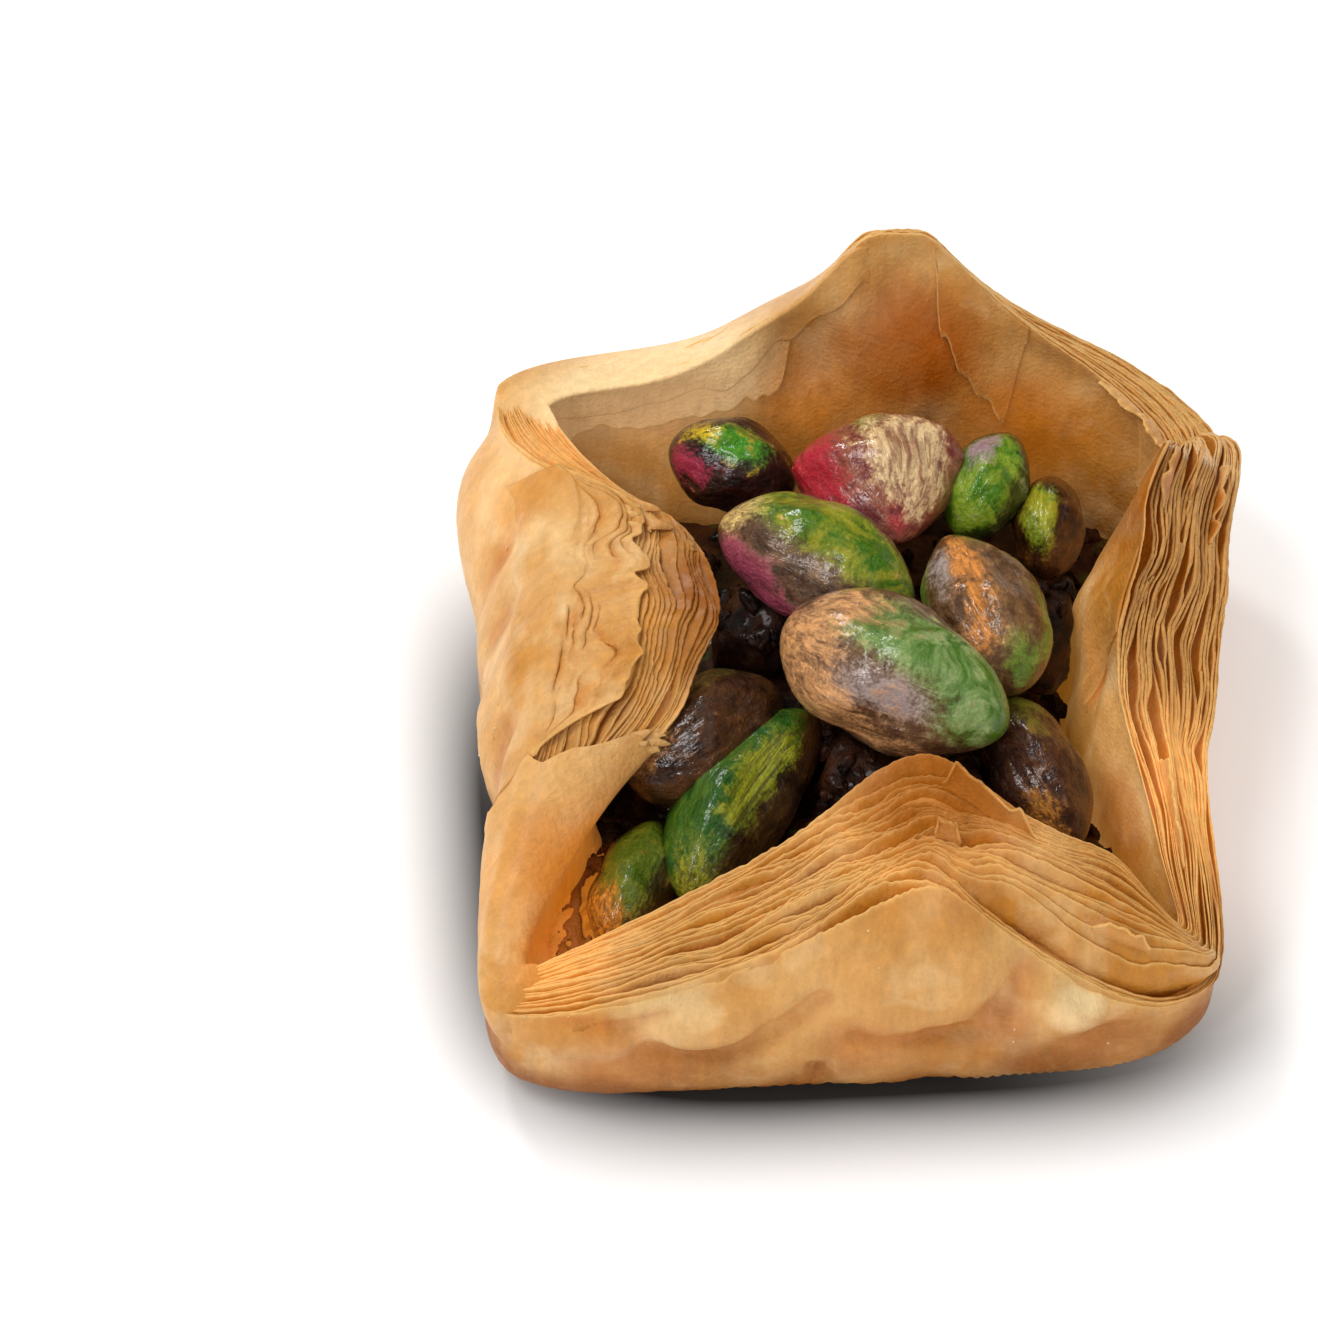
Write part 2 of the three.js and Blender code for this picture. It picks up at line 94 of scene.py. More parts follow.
# Spare sheet pinched out of a corner: where, how far the rim is drawn in X, Y and Z, and the
# half angles of its inmost and outermost sheet.
PLEATS = table(
    "at draw inner outer",
    (313, (1.7, -2.6, -2.8), 3.4, 10.0), (222, (-0.5, -0.5, -0.6), 6.0, 10.0),
)
# Where inner sheets bunch up along the foot of a wall: middle, half width, and how far in.
TUCKS = table(
    "at half amount",
    (216, 16, 4.2),
)
# Where outer sheets slid down the stack: middle and half width in degrees, the share of the
# stack's depth at which it starts, and how far the edges dropped.
SLIPS = table(
    "at half depth drop",
    (306, 16, 0.72, 3.6), (176, 20, 0.55, 1.6), (352, 26, 0.45, 1.5),
)

# Where two neighbouring sheets part: the share of the stack's depth, the middle and half width
# in degrees, and how much more room and drop there is, in common gaps between sheets.
PARTINGS = table(
    "depth at half room drop",
    (0.98, 266, 11, 6, 3), (0.5, 284, 9, 6, 2), (0.8, 290, 7, 3, 4), (0.72, 258, 6, 3, 2),
    (0.42, 262, 7, 2, 3), (0.3, 244, 6, 3, 1), (0.62, 243, 5, 3, 2), (0.85, 240, 4, 3, 2),
    (0.18, 280, 10, 2, 3), (0.02, 276, 16, 2, 5), (0.8, 177, 6, 3.5, 1), (0.15, 197, 5, 3.5, 1),
    (0.5, 199, 5, 2, 1), (0.7, 156, 5, 2, 2), (0.4, 152, 5, 2, 2), (0.25, 168, 9, 1.5, 2),
    (0.02, 12, 16, 4, 6), (0.12, 338, 14, 5, 8), (0.32, 332, 12, 5, 6), (0.45, 10, 10, 3.5, 1),
    (0.6, 356, 12, 2.5, 1), (0.78, 2, 12, 2.5, 1),
)
# Where the sheets lie straight beside each other: the middle and half width in degrees.
CALM = {"at": 8, "half": 32}
# Where syrup has run the sheets' ends together: the same, and how far.
FUSED = {"at": 176, "half": 34, "share": 0.85}
FOLD_GAIN = 1.35        # how strongly the folds below come out
# Soft blisters (over 0) and creases (under 0) of the outer face: from where to where, how wide
# and how high.
FOLDS = (
    ((2.5, -23.3, 12.9), (1.5, -23.3, 12.5), 6.0, 0.9),
    ((9.4, -22.5, 14.8), (6.9, -24.1, 9.9), 1.3, -0.9),
    ((6.9, -24.1, 9.9), (5.0, -24.3, 7.8), 1.2, -0.6),
    ((-1.8, -24.3, 8.2), (5.9, -24.3, 7.5), 1.0, -0.6),
    ((11.2, -24.3, 10.4), (11.8, -24.3, 9.6), 2.0, 0.8),
    ((13.2, -24.2, 6.8), (16.2, -24.0, 6.2), 1.0, -0.6),
    ((-8.0, -24.3, 5.0), (7.1, -24.2, 4.6), 1.6, 0.35),
    ((-15.2, -24.0, 7.3), (-10.4, -24.2, 6.5), 0.8, -0.6),
    ((-10.4, -24.2, 6.5), (-7.3, -24.1, 8.5), 0.8, -0.7),
    ((-7.3, -24.1, 8.5), (-4.2, -23.7, 11.4), 0.8, -0.7),
    ((-12.6, -23.9, 9.0), (-9.8, -23.9, 9.6), 1.6, 0.7),
    ((-7.5, -23.8, 11.6), (-6.0, -23.6, 12.6), 1.5, 0.5),
    ((-21.0, -22.3, 10.0), (-16.2, -23.5, 9.2), 0.7, -0.6),
    ((-19.5, -23.0, 8.0), (-16.0, -23.6, 7.6), 1.1, 0.6),
    ((-16.2, -23.5, 9.2), (-13.6, -23.6, 10.6), 0.6, -0.5),
    ((-4.4, -24.3, 5.0), (-4.2, -24.3, 4.4), 0.7, -0.7),
    ((-22.2, 5.0, 17.0), (-23.0, 4.0, 8.0), 0.9, -0.4),
    ((-21.8, 10.0, 18.0), (-22.6, 8.0, 9.0), 0.8, -0.35),
    ((-22.4, 1.0, 16.0), (-23.0, 0.0, 11.0), 2.2, 0.4),
    ((-22.8, -4.0, 15.0), (-23.6, -6.0, 7.0), 0.9, -0.4),
    ((-22.6, -9.0, 13.0), (-23.4, -11.0, 6.0), 1.2, 0.4),
    ((22.4, -10.0, 12.0), (22.0, -14.0, 10.0), 2.4, 0.5),
    ((21.0, 14.0, 13.0), (22.0, 10.0, 9.0), 1.6, -0.5),
    ((-12.0, 22.5, 14.0), (-6.0, 23.5, 10.0), 1.8, -0.5),
    ((6.0, 24.0, 20.0), (10.0, 23.5, 10.0), 1.6, -0.6),
)
# Pieces of sheet that came loose: the depth they leave the stack at, their reach round it in
# degrees, where they leave it over (+) or under (-) the edge, how far they reach up, how far
# they curl over outwards (+) or inwards (-) in degrees, how ragged they are and their tone.
LOOSE = table(
    "depth span root reach curl rag tone",
    (0.22, (282.0, 297.0), -0.6, 2.6, 75, 0.1, -0.2), (0.66, (279.5, 284.0), -0.4, 1.4, 60, 0.1, -0.2),
    (0.88, (299.5, 304.5), -0.4, 1.4, 80, 0.12, -0.3), (0.34, (319.5, 331.0), -0.4, 1.5, 15, 0.4, -0.5),
    (0.04, (42.0, 54.0), -0.5, 2.4, -90, 0.5, -0.4), (0.2, (23.0, 33.0), -0.4, 1.4, -60, 0.5, 0.3),
    (0.45, (24.0, 36.0), -0.4, 1.2, -30, 0.6, 0.5), (0.75, (22.0, 34.0), -0.4, 0.9, 30, 0.5, 0.5),
    (0.72, (150.5, 159.0), -0.4, 1.3, -50, 0.6, -0.3),
    (0.45, (148.0, 157.0), -0.4, 1.2, -60, 0.6, -0.2), (0.2, (152.0, 161.0), -0.4, 1.0, -50, 0.5, 0.0),
    (0.3, (201.5, 206.5), -0.4, 1.7, -50, 0.6, -0.5), (0.12, (200.5, 205.5), -0.4, 1.5, -80, 0.6, -0.5),
)
# Ends of sheets that lie on the inner faces: their reach round the nest in degrees, how far
# they hang down from the rim at either end, how ragged they are and their tone.
LININGS = table(
    "span hang rag tone",
    ((96.0, 137.0), (6.5, 4.5), 0.5, -0.5), ((60.5, 71.5), (9.5, 5.0), 0.3, -0.1),
    ((33.0, 50.0), (4.5, 3.5), 0.4, -0.3), ((351.0, 372.0), (9.0, 7.0), 0.4, -0.3),
)
# Where the outer sheet rolls over the rim: the stretch round the nest in degrees, how far it
# comes down outside and inside, how high it arches, how far it stands off, how ragged its start
# is, how gently its two ends merge into the stack, and its tone.
ROLLS = table(
    "span outside inside height stand rag merge tone",
    ((204.0, 229.5), 5.5, 11.0, 0.9, 0.3, 0.7, (0.0, 0.18), -0.2),
    ((77.0, 141.0), 4.0, 3.0, 0.35, 0.22, 0.3, (0.16, 0.08), -0.3),
)
# Torn ends of the outer sheets that lie over the ends of the sheets inside them: the stretch
# round the nest, how far down the outer face they start, the share of the stack they cover, how
# ragged they are, how far they stand off, how many slits they have and their tone.
COVERS = table(
    "span outside across rag stand grooves tone",
    ((147.0, 203.0), 5.0, 0.38, 0.045, 0.14, 14, 0.5),
)
GROOVE_DEEP = 0.38      # how deep the slits in them are
COVER_BRIDGES = 3       # over how many stations to either side they bridge the ends under them
# How golden the pastry is on the right, at the back, on the left and at the front. Partly painted
# light: the right is darker gold as painted shade, the left paler where the light falls most.
SIDE_TONES_AND_SHADE = (0.95, 0.20, -0.15, 0.35)
# Painted glow: where the pastry gives off light of its own and turns orange, in place of light coming
# through it: the spot, its reach, how much and how golden.
PAINTED_GLOW_SPOTS = (
    ((-17.5, -14.0, 9.0), 6.5, 1.5, 0.7), ((-19.0, -18.5, 9.0), 4.5, 1.5, 0.7),
    ((3.0, -15.5, 18.5), 6.5, 0.55, 1.0), ((15.5, -9.0, 8.0), 9.0, 1.1, 0.15),
    ((15.0, 2.0, 9.0), 8.0, 0.8, 0.2), ((-10.0, 19.5, 13.0), 8.0, 0.8, 0.25),
    ((-17.0, 14.0, 13.0), 7.0, 0.8, 0.25), ((0.0, 19.5, 12.0), 6.0, 0.7, 0.8),
    ((12.0, 18.0, 12.0), 6.0, 0.7, 0.7),
)

POOL_AT = np.array((-17.5, -17.5, 6.0))  # where light syrup pooled in the corner
POOL_REACH = 8.0
SHEETS = 24             # sheets of filo that end at the rim
GROUP_SHEETS = 5        # how many of them are one object
STATIONS = 1040         # points round each sheet
SHEET_THICK = 0.15      # a baked sheet of filo
OPEN_SHARE = 0.50       # of the room that a sheet has in the stack where the stack is open
STUCK_SHARE = 0.96      # and where syrup stuck the sheets together
STRIP_TONE = 0.80       # how much more golden the sheets between the faces are
STRIP_SINK = 0.45       # how far such a sheet leans inwards
STRIP_TUCK = 3.2        # how far it runs down into the stack
SLITS = 7               # open slits round each gap between two sheets
OPEN_SINK = 2.3         # how deep an open gap between two sheets goes
STUCK_SINK = 0.55       # and how deep a groove is where they are stuck
CORE_INSET = 1.30       # how far the pressed core lies inside the outer and inner faces
CORE_RIM_INSET = 0.12   # and at its rim
CORE_PAINTED_GAP_LIGHT = 0.7       # how much painted shade and glow the core's faces get, as if deep in the stack
UNSEEN_THICK = 1.1      # how much thicker a face's sheet is where it lies against the core
RELIEF_MOST = 0.95      # the most that a face's blisters and dents stand off it
LAYOUT_SEED = 11        # how the sheets lie and tear
OUTER_SEED = 31         # the outer face's relief
INNER_SEED = 32         # and the inner face's
OUTER_LOWEST = -9.0     # where the outermost sheet ends under the floor: its travel there
INNER_LOWEST = -7.0     # and the innermost sheet on the floor
LOOSE_ROWS = 12         # rows of points up a torn flake
LINING_ROWS = 30        # and down an end that hangs inside
SHOWN_ROWS = 56         # rows of points up the shown side of these two
UNSEEN_ROWS = 24        # and up their unseen side
# How far below a sheet's end its first rows of points lie.
END_STEPS = np.array((0.0, 0.06, 0.18, 0.4, 0.75, 1.25, 2.0))
FOOT_BROWN_SHADE_TOP = 10.5   # height up to which the foot is browned and painted with shade
FOOT_BROWN_SHADE_FADE = 8.0   # over what height that fades
FOOT_BROWN_SHADE_BEHIND = 0.6  # how much weaker it is on the back half
EDGE_RAG = 0.055        # how ragged a sheet's edge is

# Whole kernels: their middle, their length, width and thickness, their yaw, pitch and roll in
# degrees, how much the far end narrows and how far they bend sideways.
KERNELS = {
    "pistachio_centre": ((1.9, -3.8, 17.5), (15.6, 9.4, 8.6), (-32, -4, 10), 0.14, 0.0),
    "pistachio_right": ((8.0, 1.9, 16.2), (12.2, 7.6, 7.2), (-72, -6, 0), -0.20, 0.0),
    "pistachio_upper_left": ((-2.2, 6.0, 17.0), (13.6, 7.9, 7.4), (-30, -4, 0), 0.05, 0.4),
    "pistachio_back": ((2.4, 12.0, 16.9), (9.8, 10.2, 7.2), (-82, 4, 0), 0.38, 0.0),
    "pistachio_back_green": ((9.3, 13.0, 15.4), (7.8, 5.2, 5.8), (58, 14, 0), 0.10, 0.0),
    "pistachio_back_left": ((-6.9, 15.9, 15.0), (8.6, 6.0, 6.2), (-22, -6, 0), 0.0, 0.0),
    "pistachio_left": ((-10.0, -4.1, 12.6), (11.6, 7.8, 7.4), (34, 4, 0), 0.10, 0.0),
    "pistachio_green": ((-7.9, -8.4, 11.2), (15.4, 7.0, 7.0), (54, 8, 0), 0.0, 0.9),
    "pistachio_lower_right": ((10.5, -7.6, 12.0), (11.4, 5.9, 6.2), (-66, -10, 0), 0.05, 0.0),
    "pistachio_back_right": ((13.2, 11.0, 13.2), (7.2, 4.6, 5.8), (82, 8, 0), 0.0, 0.0),
    "pistachio_front_left": ((-15.0, -12.8, 9.2), (9.2, 4.8, 5.2), (66, 10, 0), 0.12, 0.0),
}
KERNEL_POINT = 0.14     # how much a kernel's ends are drawn to a point
POINTED = {             # and where that is more
    "pistachio_right": 0.32, "pistachio_upper_left": 0.26, "pistachio_back": 0.26,
    "pistachio_lower_right": 0.24,
}
KERNEL_KEEL = 0.10      # height of the ridge along a kernel, as a share of its girth
KERNEL_LUMPS = 0.060    # depth of its soft lumps, as a share of its girth
LUMPS_ALONG = 6.0       # how they wind: radians for each half length
LUMPS_AROUND = 3.0      # and waves round the kernel
KEEL_WIDTH = 0.22       # the ridge's half width, in radians round the kernel
KERNEL_WRINKLE = 0.16   # depth of the skin's wrinkles, as a share of its girth
KERNEL_RINGS = 96       # rings of points along it
PATCH_FADE = 0.38       # how softly a patch ends, as a share of the kernel's half size
BED_GRID = 0.3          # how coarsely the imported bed's facets are melted together
BED_ROUGH = 0.12        # how far its lumps stand out
BED_SEED = 7
CHOPPED_GRAIN = 1.7     # size of the chopped kernels
CHOPPED_DENSITY = 220000.0  # how many of them to a square metre
CRUMB_GRAIN = 0.20      # the same of the crumbs of pastry
CRUMB_DENSITY = 36000.0

# ------------------------------------------------------------------------------- the camera

IMAGE = 1318            # the picture is square
VIEW_TURN = -3.5        # degrees round from the front
VIEW_RISE = 52.0        # degrees above the table
VIEW_DISTANCE = 380.0   # mm from the nest's middle
PIXELS_PER_MM = 15.7    # at that distance
VIEW_MIDDLE = (0.0, 0.0, 10.0)
VIEW_MIDDLE_PIXEL = (857, 703)
SENSOR = 36.0
SHADE_HALF = 25.5       # half the width of the painted shadow that the nest lies in, and its form
SHADE_SQUARENESS = 4.0
SHADE_END = 1.28        # how far out it fades, as a share of that


# --------------------------------------------------------------------------- small helpers

def linear(hex_colour, alpha=1.0):
    """An sRGB hex colour as linear red, green, blue and alpha."""
    channels = [int(hex_colour[i:i + 2], 16) / 255 for i in (1, 3, 5)]
    lifted = [c / 12.92 if c <= 0.04045 else ((c + 0.055) / 1.055) ** 2.4 for c in channels]
    return (*lifted, alpha)


def ease(value):
    share = np.clip(value, 0, 1)
    return share * share * (3 - 2 * share)


def mix(a, b, share):
    return a + (b - a) * share


def bell(distance, width):
    return np.exp(-(distance / width) ** 2)


def turn_between(angle, centre):
    """The difference between two angles in degrees, from -180 to 180."""
    return (angle - centre + 180) % 360 - 180


def ring_noise(theta, rng, turns, count=12):
    """A seeded random curve round the nest, of unit spread, with `turns` = (fewest, most)."""
    total = np.zeros_like(theta)
    for _ in range(count):
        total += np.sin(rng.integers(turns[0], turns[1] + 1) * theta + rng.uniform(0, TAU))
    return total / math.sqrt(count / 2)


def face_noise(theta, travel, rng, turns, climb, count=20):
    """Seeded random relief over a sheet, with waves of `turns` round it and `climb` rad/mm up."""
    total = np.zeros(np.broadcast(theta, travel).shape)
    for _ in range(count):
        around = rng.integers(turns[0], turns[1] + 1)
        rise = rng.uniform(-climb, climb)
        total += np.sin(around * theta + rise * travel + rng.uniform(0, TAU))
    return total / math.sqrt(count / 2)


def near_line(points, start, end, width):
    """1 on the line from start to end, falling off over `width`."""
    start, end = np.array(start), np.array(end)
    along = np.clip((points - start) @ (end - start) / np.sum((end - start) ** 2), 0, 1)
    away = np.linalg.norm(points - start - along[..., None] * (end - start), axis=-1)
    return bell(away, width)


def near_spot(points, spot, reach):
    """1 close to a spot, falling to 0 at 1.4 times `reach` from it."""
    return ease(1.4 - np.linalg.norm(points - np.array(spot), axis=-1) / reach)


def space_noise(points, rng, wavelength, count=24):
    """Seeded random values through space, of unit spread."""
    total = np.zeros(points.shape[:-1])
    for _ in range(count):
        way = rng.normal(size=3)
        way *= TAU / (wavelength * rng.uniform(0.6, 1.6) * np.linalg.norm(way))
        total += np.sin(points @ way + rng.uniform(0, TAU))
    return total / math.sqrt(count / 2)


def add(tree, kind, inputs=(), out=0, **settings):
    """Adds a node with its settings, sets or links its inputs, and gives one of its outputs."""
    node = tree.nodes.new(kind)
    for name, value in settings.items():
        setattr(node, name, value)
    for socket, value in inputs.items() if isinstance(inputs, dict) else enumerate(inputs):
        if isinstance(value, bpy.types.NodeSocket):
            tree.links.new(value, node.inputs[socket])
        else:
            node.inputs[socket].default_value = value
    return node.outputs[out] if len(node.outputs) else node


# What a node that mixes colours is set to, and which of its outputs is the colour.
COLOURS = {"out": 2, "data_type": "RGBA"}


def mesh_object(name, points, faces, material, attributes=None):
    """A smooth mesh object in the row frame from points in nest millimetres."""
    mesh = bpy.data.meshes.new(name)
    points = (np.asarray(points, float).reshape(-1, 3) + NEST_SHIFT) * MM
    faces = np.asarray(faces, np.int32)
    corners = faces.shape[1]
    mesh.vertices.add(len(points))
    mesh.vertices.foreach_set("co", points.astype(np.float32).ravel())
    mesh.loops.add(faces.size)
    mesh.loops.foreach_set("vertex_index", faces.ravel())
    mesh.polygons.add(len(faces))
    mesh.polygons.foreach_set("loop_start", np.arange(0, faces.size, corners, dtype=np.int32))
    mesh.polygons.foreach_set("use_smooth", np.ones(len(faces), bool))
    mesh.update(calc_edges=True)
    for key, values in (attributes or {}).items():
        layer = mesh.attributes.new(key, "FLOAT", "POINT")
        layer.data.foreach_set("value", np.asarray(values, np.float32).ravel())
    mesh.materials.append(material)
    made = bpy.data.objects.new(name, mesh)
    bpy.context.scene.collection.objects.link(made)
    return made


def ring_faces(stations, profile):
    """Four-sided faces of a closed band: `stations` profiles, each a closed loop."""
    s, p = np.meshgrid(np.arange(stations), np.arange(profile), indexing="ij")
    s_next, p_next = (s + 1) % stations, (p + 1) % profile
    quads = np.stack([s * profile + p, s * profile + p_next,
                      s_next * profile + p_next, s_next * profile + p], axis=-1)
    return quads.reshape(-1, 4)


def is_pastry(made):
    """Hangs a piece of pastry on the root and hides the imported nest that it stands for."""
    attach(made, "root")
    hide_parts("filo_nest")


def pastry_object(name, parts, material):
    """One object of pastry from parts, each its points, its faces and its attributes."""
    starts = np.cumsum([0] + [len(points) for points, _, _ in parts])
    faces = [quads + start for (_, quads, _), start in zip(parts, starts)]
    values = {key: np.concatenate([np.ravel(part[2][key]) for part in parts])
              for key in parts[0][2]}
    is_pastry(mesh_object(name, np.concatenate([part[0] for part in parts]),
                          np.concatenate(faces), material, values))


# ------------------------------------------------------------------------ the walls' section

def peak_share(wall, across):
    """How far up its peak a wall is: 1 at the peak, 0 at the corners."""
    side = np.where(across > wall["shift"], 1, -1)
    run = np.abs(across - wall["shift"]) - wall["flat"]
    away = np.clip(run / (1 - side * wall["shift"] - wall["flat"]), 0, 1)
    sharpest = math.sqrt(1 + PEAK_ROUNDING ** 2) - PEAK_ROUNDING
    fall = (np.sqrt(away ** 2 + PEAK_ROUNDING ** 2) - PEAK_ROUNDING) / sharpest
    return np.clip(1 - fall, 0, 1) ** wall["sharp"]


def section_at(degrees):
    """The nest's sections in the directions `degrees`, as columns for arrays of travel."""
    degrees = np.asarray(degrees, float)[:, None]
    theta = np.radians(degrees)
    side = np.floor((degrees + 45) / 90).astype(int) % 4
    wall = {key: np.array([each[key] for each in WALLS])[side] for key in WALLS[0]}
    keys = ("lean", "rise", "foot", "thick", "stagger")
    before = {key: np.array([each[key] for each in CORNERS])[(side + 3) % 4] for key in keys}
    after = {key: np.array([each[key] for each in CORNERS])[side] for key in keys}
    turn = turn_between(degrees, side * 90)
    across = np.tan(np.radians(turn))
    peak = peak_share(wall, across)
    broad_peak = 1 - (1 - peak) ** 2
    blended = {}
    for key in keys:
        corner = mix(before[key], after[key], ease((across + 1) / 2))
        blended[key] = mix(corner, wall[key], broad_peak if key in ("thick", "stagger") else peak)
    half_x = np.where(np.cos(theta) > 0, WALLS[0]["fold"], WALLS[2]["fold"])
    half_y = np.where(np.sin(theta) > 0, WALLS[1]["fold"], WALLS[3]["fold"])
    square = (np.abs(np.cos(theta) / half_x) ** FOLD_SQUARENESS
              + np.abs(np.sin(theta) / half_y) ** FOLD_SQUARENESS)
    pushes = np.array([each["push"] for each in CORNERS])
    corner_push = np.where((across < 0)[..., None], pushes[(side + 3) % 4], pushes[side])
    corner_share = ease((np.abs(across) - CORNER_REACH) / (1 - CORNER_REACH))
    foot = np.radians(blended["foot"])
    section = dict(blended, degrees=degrees, theta=theta, foot=foot,
                   heading=np.radians(side * 90 + turn * ease(np.abs(across))),
                   fold=square ** (-1 / FOLD_SQUARENESS), arc=FOLD_RADIUS * foot,
                   push=corner_push * corner_share[..., None])
    run = blended["lean"] - FOLD_RADIUS * np.sin(foot)
    climb = blended["rise"] - FLOOR_THICK - FOLD_RADIUS * (1 - np.cos(foot))
    section["half"] = np.arctan2(climb, run) - foot
    section["length"] = np.hypot(run, climb) * section["half"] / np.sin(section["half"])
    section["total"] = section["arc"] + section["length"]
    return section


def stack_at(section, travel):
    """The stack's thickness `travel` millimetres up the sheet."""
    return mix(FLOOR_THICK, section["thick"], ease(travel / (section["arc"] + 4)))


def tuck_at(section, travel):
    """How far the innermost sheet stands in from the wall's stack."""
    tuck = np.zeros(np.broadcast(section["theta"], travel).shape)
    for each in TUCKS:
        near = bell(turn_between(section["degrees"], each["at"]), each["half"])
        tuck += each["amount"] * near * ease(1 - travel / section["total"])
    return tuck


def sheet_point(section, travel, depth, layer):
    """Points of the nest: `travel` up the innermost sheet, `depth` outside its face, `layer` 0
    for the innermost sheet and 1 for the outermost. Travel under 0 runs in under the floor."""
    depth = depth - tuck_at(section, travel) * (1 - layer) ** 2
    theta, foot, arc, half = (section[key] for key in ("theta", "foot", "arc", "half"))
    low = np.clip(travel, 0, arc) / FOLD_RADIUS
    bend_radius = section["length"] / (2 * half)
    high = foot + (travel - arc) / bend_radius
    past = travel > arc
    angle = np.where(past, high, low)
    out = np.where(past,
                   FOLD_RADIUS * np.sin(foot) + bend_radius * (np.sin(high) - np.sin(foot)),
                   FOLD_RADIUS * np.sin(low) + np.minimum(travel, 0))
    up = FLOOR_THICK + np.where(
        past, FOLD_RADIUS * (1 - np.cos(foot)) + bend_radius * (np.cos(foot) - np.cos(high)),
        FOLD_RADIUS * (1 - np.cos(low)))
    sine, cosine = np.sin(angle), np.cos(angle)
    power = FOOT_SQUARENESS
    corner = (np.abs(sine) ** power + np.abs(cosine) ** power) ** (-1 / power)
    square = np.where((angle < math.pi / 2) & (depth > 0), corner, 1)
    climb = ease(travel / section["total"] * 1.5 - 0.3)
    swell = FACE_SWELL * climb * (np.sin(5 * theta + 0.35 * travel)
                                  + 0.6 * np.sin(9 * theta - 0.5 * travel))
    outward = out + depth * sine * square + swell
    x = (section["fold"] * np.cos(theta) + outward * np.cos(section["heading"])
         + section["push"][..., 0])
    y = (section["fold"] * np.sin(theta) + outward * np.sin(section["heading"])
         + section["push"][..., 1])
    point = np.stack(np.broadcast_arrays(x, y, up - depth * cosine * square), axis=-1)
    for pleat in PLEATS:
        width = mix(pleat["inner"], pleat["outer"], layer)
        pull = bell(turn_between(section["degrees"], pleat["at"]), width) * climb
        point = point + np.asarray(pleat["draw"]) * pull[..., None]
    return point


def nest_shift():
    """Where the nest's own origin lies in the row frame: its box is centred there."""
    section = section_at(np.arange(0, 360, 0.5))
    lowest, highest = np.full(3, 1e9), np.full(3, -1e9)
    for layer, travel_end in ((0.0, 0.0), (1.0, 1.0)):
        end = section["total"] - section["stagger"] * travel_end
        travel = np.linspace(0, 1, 40)[None, :] * end
        points = sheet_point(section, travel, layer * stack_at(section, travel), layer)
        lowest = np.minimum(lowest, points.reshape(-1, 3).min(0))
        highest = np.maximum(highest, points.reshape(-1, 3).max(0))
    low, high = (np.array(corner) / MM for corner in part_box("filo_nest"))
    shift = (low + high) / 2 - (lowest + highest) / 2
    return np.array([shift[0], shift[1], 0.0])


NEST_SHIFT = nest_shift()


# -------------------------------------------------------------------------------- materials

# Sizes of the patterns in baked filo, in millimetres.
CLOUD_SIZE = 7.0        # soft clouds of gold and cream
VEIL_SIZE = 4.5         # pale veils
MOTTLE_SIZE = 1.1       # mottling by the oven
PULLED_SIZE = 0.8       # streaks from pulling the dough thin
FIBRE_SIZE = 0.28       # specks of flour
PULLED_WAY = (1.0, 1.0, 0.16)  # which way the streaks are drawn out: upwards
GOLD_SHARE = 0.62       # how golden the clouds and the tone make it
PALER_UNDER = -0.35     # the tone under which it gets paler than cream
SOAKED_SHINE = -0.18    # how much smoother it is where syrup soaked in
PAINTED_GAP_GLOW = 0.45     # how strongly the pastry glows deep between the sheets, a painted glow
# Sizes of the patterns in a kernel's skin and in chopped nuts, in millimetres.
BLOTCH_SIZE = 2.4       # rubbed patches, and the lumps of chopped nuts
PATCHY_SIZE = 0.9       # their borders
SKIN_GRAIN = 0.22       # papery grain
NUT_GRAIN = 0.45        # broken faces of chopped nuts

VEIL_COLOUR = linear("#f6d29a")[:3]
# Painted highlight: the paler cream at each sheet's thin edge.
EDGE_HIGHLIGHT_COLOUR = linear("#eeb86c")[:3]


def new_material(name):
    material = bpy.data.materials.new(name)
    material.use_nodes = True
    material.node_tree.nodes.clear()
    return material, material.node_tree


